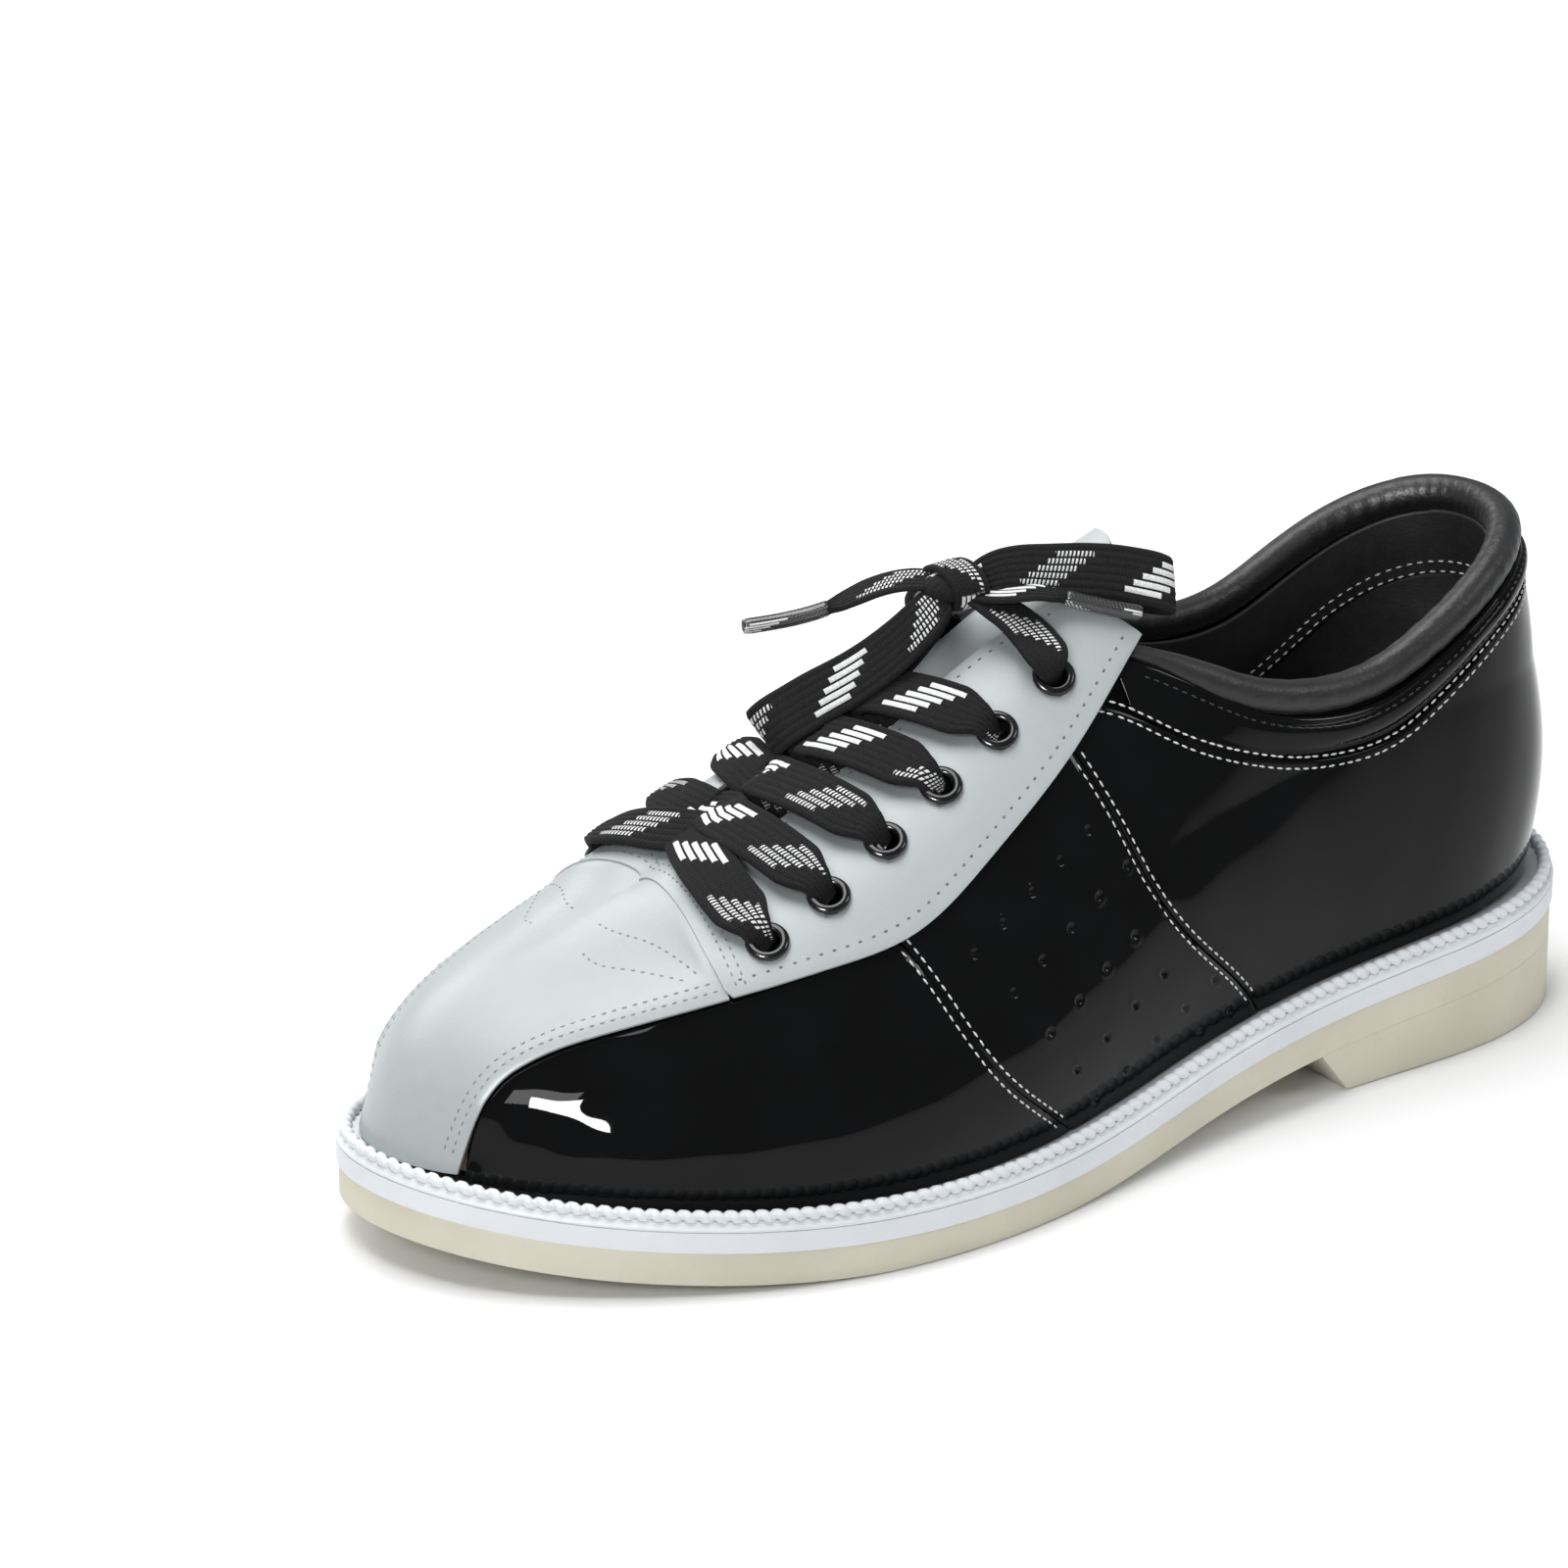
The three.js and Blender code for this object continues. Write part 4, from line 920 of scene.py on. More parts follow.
# %% [markdown]
# ## Collar
# The collar is a patent band stretched over foam, with a crease below its top edge, and a softer
# roll of leather that turns inwards round the foot opening. The roll is fuller at the heel.

# %% Band, foam, lining and roll of the collar
COLLAR_FRONT, COLLAR_ROLL, COLLAR_RISE = 99.0, 3.1 * MM, 140 * MM
ROLL_SHARE = COLLAR_ROLL / COLLAR_RISE
FOAM_INNER = LEATHER + GAP + 3.4 * MM
PUFF = 1.6 * MM


def band_top(degrees):
    return both_sides(top_line, degrees) - 2 * ROLL_SHARE - 0.012


def collar_lay(low, high, first=0.0, last=1.0):
    def lay(s, v):
        degrees = lerp(COLLAR_FRONT, 360 - COLLAR_FRONT, lerp(first, last, s))
        return degrees, lerp(both_sides(collar_line, degrees) + low, band_top(degrees) + high, v)
    return lay


def band_face(s, v):
    ends = np.clip((np.minimum(s, 1 - s) - 0.03) * 9, 0, 1)
    swell = np.sin(math.pi * np.clip((v - 0.12) / 0.88, 0, 1)) ** 0.8
    crease = np.exp(-((v - 0.8) / 0.05) ** 2)
    return (PUFF * swell - 0.55 * MM * crease) * ends + ripple(s * 180, v * 0.3, 0.05 * MM)


collar_band = shell("collar_padded_band", 200, 22, collar_lay(0.004, 0.004), band_face, -LEATHER)
collar_pad = shell("collar_pad", 90, 8, collar_lay(0.01, -0.014, 0.06, 0.94),
                   lambda s, v: -LEATHER - GAP - 0.3 * MM * (2 * v - 1) ** 2, -FOAM_INNER, 1.2 * MM)
collar_inside = shell("collar_lining_piece", 160, 22, collar_lay(-0.06, 0.012, 0.04, 0.96),
                      lambda s, v: -FOAM_INNER - GAP,
                      lambda s, v: -FOAM_INNER - GAP - LINING - 0.5 * MM * np.sin(math.pi * v))
ROLL_FRONT = 99.5
roll_angles = np.linspace(ROLL_FRONT, 360 - ROLL_FRONT, 260)
at_heel = np.sin((roll_angles - ROLL_FRONT) / (360 - 2 * ROLL_FRONT) * math.pi)
roll_t = both_sides(top_line, roll_angles) - ROLL_SHARE
roll_path = on_skin(roll_angles, roll_t, -COLLAR_ROLL + 0.9 * MM)
roll_up = skin_normal(np.radians(roll_angles), roll_t)
roll_side = np.cross(directions(roll_path), roll_up)
turn = np.linspace(0, math.tau, 40, endpoint=False)
pinch = lerp(0.45, 1.0, ease(np.minimum(np.arange(260), 259 - np.arange(260)) / 16))
fold = 1 + 0.02 * np.sin(roll_angles[:, None] * 1.9 + 2 * np.sin(turn * 2)) * np.sin(turn + 0.6)
radius = (COLLAR_ROLL * lerp(1.0, 1.22, at_heel) * pinch)[:, None] * fold
rings = (roll_path[:, None] + roll_side[:, None] * (np.cos(turn) * radius * 1.12)[..., None]
         + roll_up[:, None] * (np.sin(turn) * radius)[..., None])
collar_roll = tube("collar_soft_roll", rings)
for piece, node in ((collar_band, "collar_band"), (collar_pad, "collar_foam"),
                    (collar_inside, "collar_lining"), (collar_roll, "collar_roll")):
    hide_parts(node)
print("collar roll is", round(float(radius.max() / MM), 1), "mm in radius at the heel")

# %% [markdown]
# ## Linings and tongue
# The linings are soft black leather inside the shoe. The tongue is a light cover over foam with a
# black lining, rounded at its top.

# %% Linings
LINING_SEAM, VAMP_LINING_END = 82.0, 47.0


def vamp_lining_lay(s, v):
    w = 2 * v - 1
    rear = lerp(VAMP_LINING_END, LINING_SEAM, np.clip((np.abs(w) - 0.45) / 0.1, 0, 1) ** 0.8)
    degrees = lerp(0, rear - HALF_SEAM, s)
    return np.where(w < 0, 360 - degrees, degrees), lerp(FIRST_T, 1, 1 - np.abs(w))


linings = [shell("lining_of_vamp", 60, 60, vamp_lining_lay, LINING_TOP, LINING_TOP - LINING, 0)]
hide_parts("vamp_lining")
for side_name, side in SIDES.items():
    def quarter_lining_lay(s, v, side=side):
        degrees = lerp(LINING_SEAM + HALF_SEAM, 180 - HALF_SEAM, s)
        behind = np.minimum(collar_line(degrees) - 0.062, float(stripe_edge(96)) - 0.02)
        top = np.where(degrees < 96, stripe_edge(degrees) - 0.02, behind)
        return mirrored(degrees, side), lerp(FIRST_T, top, v)

    piece = shell(f"lining_of_quarter_{side_name}", 80, 36, quarter_lining_lay, LINING_TOP,
                  LINING_TOP - LINING)
    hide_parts(f"quarter_lining_{side_name}")
    linings.append(piece)

# %% Toe puff and heel counter
def puff_lay(s, v):
    return lerp(-40.0, 40.0, s), lerp(0.02, 0.62, v)


def counter_lay(s, v):
    degrees = lerp(122.0, 238.0, s)
    return degrees, lerp(0.02, both_sides(collar_line, degrees) - 0.07, v)


stiffeners = [shell("toe_puff_board", 60, 30, puff_lay, STIFF_TOP, STIFF_TOP - STIFFENER),
              shell("heel_counter_board", 80, 24, counter_lay, STIFF_TOP, STIFF_TOP - STIFFENER)]
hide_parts("toe_puff")
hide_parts("heel_counter")

# %% Tongue
TONGUE_BASE, TONGUE_TIP = 48.5, 107.0
TONGUE_FACE = STIFF_TOP - STIFFENER
TONGUE_PAD = TONGUE_FACE - 2 * GAP - 2.4 * MM
tongue_edge = spline([(48, .7), (70, .7), (90, .71), (97, .735), (102, .775), (105.3, .84), (107, .93)])
TIP_CROWN, TIP_CURL, CURL_START, CURL_REACH = 1.0, 2.8 * MM, 92, 15


def tongue_lay(first, last, margin):
    """A tongue layer across the foot, with its tip rounded outwards in the middle."""
    def lay(s, v):
        w = 2 * v - 1
        straight = lerp(first, last, s)
        degrees = straight + TIP_CROWN * (1 - w * w) * s ** 3
        t = lerp(1, tongue_edge(straight) + margin, np.abs(w))
        return np.where(w < 0, 360 - degrees, degrees), t
    return lay


def rim_share(s, v):
    """0 inside the tongue and 1 at its sewn rim."""
    return 1 - ease(np.minimum(np.minimum(v, 1 - v) * 1.6, 1 - s) / 0.1)


def curled(layer, first, last):
    """The tongue's tip bends down towards the instep."""
    def off(s, v):
        level = layer(s, v) if callable(layer) else layer
        return level - TIP_CURL * ease((lerp(first, last, s) - CURL_START) / CURL_REACH)
    return off


def tongue_sheet(name, cols, rows, ends, margin, outer, inner, radius=EDGE_ROUND):
    return shell(name, cols, rows, tongue_lay(*ends, margin), curled(outer, *ends),
                 curled(inner, *ends), radius)


def tongue_face(s, v):
    return STIFF_TOP + 0.35 * MM * np.sin(math.pi * v) - 0.4 * MM * rim_share(s, v)


def pad_face(s, v):
    return TONGUE_FACE - 2 * GAP - 0.3 * MM * (2 * v - 1) ** 2


def lining_face(s, v):
    return lerp(TONGUE_PAD - GAP, TONGUE_FACE, rim_share(s, v))


tongue_cover = tongue_sheet("tongue_light_cover", 110, 50, (TONGUE_BASE, TONGUE_TIP), 0, tongue_face,
                            TONGUE_FACE)
tongue_pad = tongue_sheet("tongue_pad", 60, 24, (54, 103), 0.05, pad_face, TONGUE_PAD, 0.8 * MM)
tongue_inside = tongue_sheet("tongue_lining_piece", 80, 40, (52, TONGUE_TIP), 0.002, lining_face,
                             lambda s, v: lining_face(s, v) - LINING)
for piece, node in ((tongue_cover, "tongue_cover"), (tongue_pad, "tongue_padding"),
                    (tongue_inside, "tongue_lining")):
    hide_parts(node)
print("linings and tongue:", len(linings) + 3, "pieces")

# %% [markdown]
# ## Stitching
# A stitch is a short bead of thread that sinks into the leather at both ends. Each row follows a
# pattern line at a small distance. Thousands of them share one tiny shape of twenty faces.

# %% Rows of stitches
def line_frames(degrees, t, off, shift):
    """Points, directions and upward directions along a line on the last, moved sideways by shift."""
    points, ups = on_skin(degrees, t), skin_normal(np.radians(degrees), t)
    along = directions(points)
    side = np.cross(ups, along)
    return points + side * shift + ups * off, along, ups


SEEK_ABOVE, SEEK_DEPTH = 4 * MM, 9 * MM


def seated(points, ups, on, sink):
    """Brings points down onto the nearest of the sewn pieces."""
    depsgraph = bpy.context.evaluated_depsgraph_get()
    trees = [BVHTree.FromObject(piece, depsgraph) for piece in on]
    points, ups = points.copy(), ups.copy()
    for k, point in enumerate(points):
        above, down = Vector(point + ups[k] * SEEK_ABOVE), Vector(-ups[k])
        hits = [tree.ray_cast(above, down, SEEK_DEPTH) for tree in trees]
        hits = [hit for hit in hits if hit[0] is not None]
        if hits:
            nearest = min(hits, key=lambda hit: hit[3])
            points[k], ups[k] = nearest[0] - nearest[1] * sink, nearest[1]
    return points, ups


def stitch_rows(name, lines, long, pitch, thick, tall, on=()):
    """lines: (degrees, t, off, shift) each, sewn on the given pieces. One object holds all stitches."""
    bm = bmesh.new()
    count = 0
    for degrees, t, off, shift in lines:
        points, along, ups = line_frames(degrees, t, off, shift)
        points, ups = seated(points, ups, on, thick * tall * 0.25)
        run = np.r_[0, np.cumsum(np.linalg.norm(np.diff(points, axis=0), axis=1))]
        for at in np.arange(pitch / 2, run[-1] - pitch / 3, pitch):
            k = min(int(np.searchsorted(run, at)), len(points) - 1)
            x, z = Vector(along[k]), Vector(ups[k])
            y = z.cross(x).normalized()
            turned = Matrix((x, y, x.cross(y))).transposed().to_4x4()
            size = Matrix.Diagonal((long / 2, thick / 2, thick * tall, 1))
            lean = Matrix.Rotation(draw.uniform(-0.07, 0.07), 4, "Z")
            bmesh.ops.create_icosphere(bm, subdivisions=1, radius=1.0,
                                       matrix=Matrix.Translation(Vector(points[k])) @ turned @ lean @ size)
            count += 1
    piece = piece_from(bm, name)
    print(name, "has", count, "stitches")
    return piece


def sampled(first, last, count=400):
    return np.linspace(first, last, count)


# The length of a stitch, the pitch of its row, the thickness of the thread, and the height it stands
# above the leather as a share of that thickness.
WHITE_STITCH, INSIDE_STITCH = (1.9 * MM, 2.35 * MM, 0.52 * MM, 0.5), (1.7 * MM, 2.4 * MM, 0.5 * MM, 0.5)
LIGHT_STITCH, DARK_STITCH = (1.25 * MM, 2.15 * MM, 0.55 * MM, 0.4), (1.05 * MM, 2.9 * MM, 0.66 * MM, 0.28)
FINE_STITCH, COLLAR_STITCH = (1.2 * MM, 2.2 * MM, 0.55 * MM, 0.4), (1.5 * MM, 2.3 * MM, 0.5 * MM, 0.5)
TONGUE_STITCH = (1.2 * MM, 2.3 * MM, 0.5 * MM, 0.4)

# %% White double rows on the patent
ROW_APART = 1.25 * MM
white_rows = []
for side_name, side in SIDES.items():
    heights = sampled(STITCH_START_T, float(stripe_edge(STRIPE_MEETS_FRONT)))
    front = mirrored(front_seam(heights), side)
    rear_heights = sampled(STITCH_START_T, float(stripe_edge(92.0)) - 0.01)
    rear = mirrored(rear_seam(rear_heights), side)
    collar_angles = sampled(94.5, 180 - BACKSTAY_HALF)
    under_collar = both_sides(collar_line, collar_angles) - 0.012
    lines = []
    for shift in (-ROW_APART, ROW_APART):
        lines += [(front, heights, 0.12 * MM, shift), (rear, rear_heights, 0.12 * MM, shift)]
        lines.append((mirrored(collar_angles, side), under_collar, 0.25 * MM, shift + 0.6 * MM * side))
    white_rows.append(stitch_rows(f"white_stitches_{side_name}", lines, *WHITE_STITCH,
                                  on=panels + [collar_band]))

# %% Light rows on the stripe and dark rows on the facing
STITCH_ON_LIGHT = LIGHT_TOP + 0.02 * MM
EDGE_ROWS = (2.3 * MM, 4.3 * MM)
CROSS_ROWS = (1.3 * MM, 3.2 * MM)
DARK_ROW, THROAT_ROW = 3.3 * MM, 2.2 * MM
light_lines, dark_lines = [], []
for side in SIDES.values():
    edge_angles = sampled(17.6, CROSS_SIDE - 1)
    edge_heights = np.maximum(stripe_edge(edge_angles), STITCH_START_T)
    for shift in EDGE_ROWS:
        light_lines.append((mirrored(edge_angles, side), edge_heights, STITCH_ON_LIGHT, shift * side))
    arm = sampled(0.02, 0.245)
    cross_angles, cross_heights = facing_outer(arm)
    for shift in CROSS_ROWS:
        light_lines.append((mirrored(cross_angles, side), cross_heights, STITCH_ON_LIGHT, shift * side))
    outer_angles = sampled(CROSS_SIDE + 0.5, 101.8)
    dark_lines.append((mirrored(outer_angles, side), stripe_edge(outer_angles), STITCH_ON_LIGHT,
                       DARK_ROW * side))
    arm = sampled(0.12, 0.98)
    dark_lines.append((mirrored(facing_inner_angle(arm), side), facing_inner_t(arm), STITCH_ON_LIGHT,
                       -THROAT_ROW * side))
light_rows = stitch_rows("light_stitches", light_lines, *LIGHT_STITCH, on=light_pieces)
dark_rows = stitch_rows("dark_stitches", dark_lines, *DARK_STITCH, on=light_pieces)

# %% The leaf sewn in front of the cross seam
leaf_share = sampled(0, 1, 300)
leaf_lines = []
for points in (((31.5, .93), (36.0, .845), (40.5, .765), (44.2, .675), (47.8, .56)),
               ((29.5, .83), (33.5, .745), (38.5, .68), (43.0, .615), (46.8, .555))):
    places = np.array(points).T
    degrees, heights = (spline(np.c_[np.linspace(0, 1, 5), row])(leaf_share) for row in places)
    leaf_lines += [(mirrored(degrees, side), heights, STITCH_ON_LIGHT, 0.0) for side in SIDES.values()]
leaf = stitch_rows("leaf_stitches", leaf_lines, *FINE_STITCH, on=[toe_stripe])

# %% Dark edge row on the collar, a row round the tongue and the double row inside the heel
collar_angles = sampled(COLLAR_FRONT + 2, 360 - COLLAR_FRONT - 2, 800)
crease_t = lerp(both_sides(collar_line, collar_angles), band_top(collar_angles), 0.8)
crease_rows = stitch_rows("collar_stitches", [(collar_angles, crease_t, 0.75 * MM, 0.0)],
                          *COLLAR_STITCH, on=[collar_band])
tongue_lines = []
for side in SIDES.values():
    angles = sampled(88, 105.6)
    tongue_lines.append((mirrored(angles, side), tongue_edge(angles) + 0.05, STIFF_TOP - 3 * MM, 0.0))
tongue_rows = stitch_rows("tongue_stitches", tongue_lines, *TONGUE_STITCH, on=[tongue_cover])
inside_angles = sampled(126, 234, 800)
inside_t = both_sides(collar_line, inside_angles) - 0.045
inside_off = -FOAM_INNER - GAP - LINING - 0.35 * MM
inside_rows = stitch_rows("inside_stitches", [(inside_angles, inside_t, inside_off, shift)
                                              for shift in (-ROW_APART, ROW_APART)], *INSIDE_STITCH)
backstay_lines = []
for side in SIDES.values():
    heights = sampled(0.03, float(collar_line(180)))
    narrow = lerp(1.0, BACKSTAY_TAPER, heights / float(collar_line(180)))
    angles = mirrored(180 - BACKSTAY_HALF * narrow, side)
    backstay_lines.append((angles, heights, STITCH_ON_LIGHT, -1.6 * MM * side))
backstay_rows = stitch_rows("backstay_stitches", backstay_lines, *FINE_STITCH, on=[backstay])

# %% [markdown]
# ## Sole
# The sole is built in layers: a white midsole with a moulded welt on it, and a cream outsole with a
# low heel block. The welt carries a corded bead, cut like a rope, that hides the seam to the upper.

# %% Layers of the sole
LAYER_ROWS = 24


def sole_layer(name, outward, top, bottom, first=0.0, last=180.0, lean=0.0, cols=220, radius=0.6 * MM):
    """A layer between two heights; lean slants its front face, in degrees round the foot."""
    bm, s, v, high = slab_grid(cols, LAYER_ROWS)
    start = np.where(high, first, first + lean)
    a = np.radians(lerp(start, last, s))
    plan = edge(a, outward) * (1 - v)[:, None] + edge(math.tau - a, outward) * v[:, None] - ORIGIN
    x = plan[:, 0] + ORIGIN[0]
    place(bm.verts, np.stack([plan[:, 0], plan[:, 1], np.where(high, top(x), bottom(x))], -1))
    bmesh.ops.remove_doubles(bm, verts=bm.verts[:], dist=1e-6)
    bmesh.ops.recalc_face_normals(bm, faces=bm.faces[:])
    round_edges(bm, radius, 3)
    return piece_from(bm, name)


WELT_BOTTOM = GAP + 1.7 * MM
HEEL_BREAST = 0.715
HEEL_START = math.degrees(angle_at(HEEL_BREAST))
outsole = sole_layer("outsole_layer", WELT_REACH - 0.5 * MM, outsole_top, tread_z, radius=0.9 * MM)
midsole = sole_layer("midsole_layer", WELT_REACH, lambda x: feather_z(x) - WELT_BOTTOM - 0.05 * MM,
                     lambda x: outsole_top(x) + 0.02 * MM, radius=0.35 * MM)
heel = sole_layer("heel_lift", WELT_REACH - 0.5 * MM, lambda x: tread_z(x) - 0.05 * MM, lambda x: 0 * x,
                  HEEL_START, 180.0, lean=3.5, cols=90, radius=2.2 * MM)

# %% Welt and corded bead
BEAD_START, BEAD_HEIGHT = LEATHER + 2 * GAP + 1.2 * MM, 2.2 * MM


def swept_edge(name, section, count, wave=None):
    """Carries a section of (out, up) points round the feather line."""
    a = np.linspace(0, math.tau, count, endpoint=False)
    line = edge(a, 0.0)
    run = np.r_[0, np.cumsum(np.linalg.norm(np.diff(line, axis=0), axis=1))]
    a = np.interp(np.linspace(0, run[-1], count, endpoint=False), run, a)
    rings = np.zeros((count, len(section), 3))
    for k, (out, up) in enumerate(section):
        grow_out, grow_up = wave(k, count) if wave else (0.0, 0.0)
        plan = edge(a, np.full(count, out) + grow_out)
        rings[:, k, :2] = plan - ORIGIN
        rings[:, k, 2] = feather_z(plan[:, 0]) + up + grow_up
    return tube(name, rings, closed=True)


GROOVE = 0.22 * MM
bead_outer = BEAD_START + 2.6 * MM
welt_section = [(-3 * MM, -WELT_BOTTOM), (WELT_REACH - 0.25 * MM, -WELT_BOTTOM),
                (WELT_REACH, -WELT_BOTTOM + 0.2 * MM), (WELT_REACH, -WELT_BOTTOM + 0.55 * MM),
                (WELT_REACH - 0.25 * MM, -WELT_BOTTOM + 0.9 * MM)]
GROOVE_STEPS = 12
groove_line = np.linspace(WELT_REACH - 0.4 * MM, bead_outer - 0.3 * MM, GROOVE_STEPS + 1)
for k, out in enumerate(groove_line):
    slope = lerp(-WELT_BOTTOM + 1.05 * MM, -GAP + 0.25 * MM, k / GROOVE_STEPS)
    welt_section.append((out, slope - (GROOVE if k % 4 == 2 else 0)))
welt_section += [(BEAD_START + 0.3 * MM, -GAP + 0.2 * MM), (-3 * MM, -GAP)]
welt = swept_edge("welt_band", welt_section, 480)

KNURLS, BEAD_POINTS, KNURL_DEPTH = 212, 12, 0.75 * MM
bead_turn = np.linspace(0, math.tau, BEAD_POINTS, endpoint=False)
BEAD_RADIUS = 1.45 * MM
bead_middle = (BEAD_START + BEAD_RADIUS, BEAD_HEIGHT - BEAD_RADIUS)
bead_section = [(bead_middle[0] + BEAD_RADIUS * math.cos(b), bead_middle[1] + BEAD_RADIUS * math.sin(b))
                for b in bead_turn]


def rope(k, count):
    twist = np.linspace(0, math.tau * KNURLS, count, endpoint=False) + bead_turn[k]
    swell = -KNURL_DEPTH * (0.5 - 0.5 * np.cos(twist)) ** 3
    return swell * math.cos(bead_turn[k]), swell * math.sin(bead_turn[k])


bead = swept_edge("welt_bead", bead_section, KNURLS * 10, rope)
for piece, node in ((outsole, "outsole"), (midsole, "midsole"), (heel, "heel_block"), (welt, "welt")):
    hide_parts(node)
print("bead has", KNURLS, "turns")

# %% Sock liner
sock_inward = -(LEATHER + UNDER + STIFFENER + LINING_GAP + LINING + 2 * GAP) - 1.6 * MM
SOCK_BOTTOM = GAP + 1.2 * MM + GAP + 2 * MM + GAP
sock = sole_layer("sock_liner_pad", sock_inward, lambda x: feather_z(x) + SOCK_BOTTOM + 2.5 * MM,
                  lambda x: feather_z(x) + SOCK_BOTTOM, radius=0.7 * MM, cols=140)
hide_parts("sock_liner")
print("sock liner is", round(sock.dimensions.x / MM, 1), "mm long")

# %% [markdown]
# ## Materials
# Every finish is a small network of nodes. A thin class lets the maths be written as ordinary
# expressions, and one method makes every other node.

# %% Shader maths as expressions
class Socket:
    """Wraps a node output, so that sums and products of values add Math nodes."""

    def __init__(self, finish, output):
        self.finish, self.output = finish, output

    def _math(self, operation, *values):
        return self.finish.node("ShaderNodeMath", {"operation": operation}, dict(enumerate(values)))[0]

    def __add__(self, other):
        return self._math("ADD", self, other)

    def __sub__(self, other):
        return self._math("SUBTRACT", self, other)

    def __rsub__(self, other):
        return self._math("SUBTRACT", other, self)

    def __mul__(self, other):
        return self._math("MULTIPLY", self, other)

    def __lt__(self, other):
        return self._math("LESS_THAN", self, other)

    def __gt__(self, other):
        return self._math("GREATER_THAN", self, other)

    __radd__, __rmul__ = __add__, __mul__

    def fraction(self):
        return self._math("FRACT", self)

    def floor(self):
        return self._math("FLOOR", self)

    def size(self):
        return self._math("ABSOLUTE", self)


class Finish:
    """A material with its Principled shader, built node by node."""

    def __init__(self, name, **settings):
        self.material = bpy.data.materials.new(name)
        self.material.use_nodes = True
        self.tree = self.material.node_tree
        self.shader = self.tree.nodes["Principled BSDF"]
        for socket, value in settings.items():
            self.shader.inputs[socket.replace("_", " ")].default_value = value

    def node(self, kind, settings=None, inputs=None):
        made = self.tree.nodes.new(kind)
        for key, value in (settings or {}).items():
            if key == "stops":
                while len(made.color_ramp.elements) < len(value):
                    made.color_ramp.elements.new(0.5)
                for element, (at, color) in zip(made.color_ramp.elements, value):
                    element.position, element.color = at, color
            else:
                setattr(made, key, value)
        for key, value in (inputs or {}).items():
            if isinstance(value, Socket):
                self.tree.links.new(value.output, made.inputs[key])
            else:
                made.inputs[key].default_value = value
        return [Socket(self, output) for output in made.outputs]

    def drive(self, socket, value):
        self.tree.links.new(value.output, self.shader.inputs[socket])

    def place(self):
        """The piece's own coordinates, in metres."""
        return self.node("ShaderNodeTexCoord")[3]

    def flat(self):
        """Metres along and across a lace, from its UV map."""
        u, v, _ = self.node("ShaderNodeSeparateXYZ", None, {0: self.node("ShaderNodeTexCoord")[2]})
        return u, v

    def cloudy(self, scale, detail=3.0):
        return self.node("ShaderNodeTexNoise", None,
                         {"Vector": self.place(), "Scale": scale, "Detail": detail})[0]

    def cells(self, scale):
        return self.node("ShaderNodeTexVoronoi", None, {"Vector": self.place(), "Scale": scale})[0]

    def ramp(self, value, *stops):
        return self.node("ShaderNodeValToRGB", {"stops": stops}, {0: value})[0]

    def mix(self, share, low, high):
        return self.node("ShaderNodeMix", {"data_type": "RGBA"}, {0: share, 6: low, 7: high})[2]

    def relief(self, height, depth, strength=1.0):
        """Height from 0 to 1 becomes a bump of that depth in metres."""
        self.drive("Normal", self.node("ShaderNodeBump", None, {
            "Strength": strength, "Distance": depth, "Height": height})[0])


def grey(value, tint=(1.0, 1.0, 1.0)):
    return (value * tint[0], value * tint[1], value * tint[2], 1.0)


# %% [markdown]
# ## Patent leather
# Patent leather is near black below a clear lacquer. The lacquer is very smooth, so reflections stay
# sharp, but it lies on grain, which bends them gently. Fine dust breaks the gloss here and there.

# %% Patent finish
patent = Finish("patent_lacquer", Coat_Weight=1.0, Coat_Roughness=0.02, Coat_IOR=1.26,
                Specular_IOR_Level=0.0)
dust = patent.cloudy(900.0, 2.0)
patent.drive("Base Color", patent.ramp(patent.cloudy(60.0), (0.3, grey(0.002)),
                                       (0.7, grey(0.004, (0.95, 1, 1.1)))))
patent.drive("Roughness", 0.07 + patent.cloudy(35.0) * 0.06 + (dust > 0.72) * 0.12)
patent.relief(patent.cloudy(120.0, 1.0) * 0.9 + patent.cells(900.0) * 0.1, 0.12 * MM, 0.15)

# %% Soft black leather of the roll and the linings
soft = Finish("soft_black_leather", Specular_IOR_Level=0.45, Sheen_Weight=0.05)
grain = soft.cells(1100.0)
soft.drive("Base Color", soft.ramp(soft.cloudy(90.0), (0.25, grey(0.006)), (0.8, grey(0.013, (1, 1, 1.05)))))
soft.drive("Roughness", 0.36 + soft.cloudy(300.0) * 0.16)
soft.relief(grain * 0.6 + soft.cloudy(420.0, 4.0) * 0.4, 0.16 * MM, 0.6)

lining = Finish("lining_leather", Specular_IOR_Level=0.4)
lining.drive("Base Color", lining.ramp(lining.cloudy(140.0), (0.3, grey(0.008)), (0.8, grey(0.016))))
lining.drive("Roughness", 0.5 + lining.cloudy(500.0) * 0.2)
lining.relief(lining.cells(1500.0) * 0.5 + lining.cloudy(900.0) * 0.5, 0.1 * MM, 0.6)

# %% [markdown]
# ## Light leather
# The stripe and facing are smooth coated leather, a cool light grey. The coating leaves a very fine
# pebble and a soft sheen, with slightly darker mottling where the hide is more open.

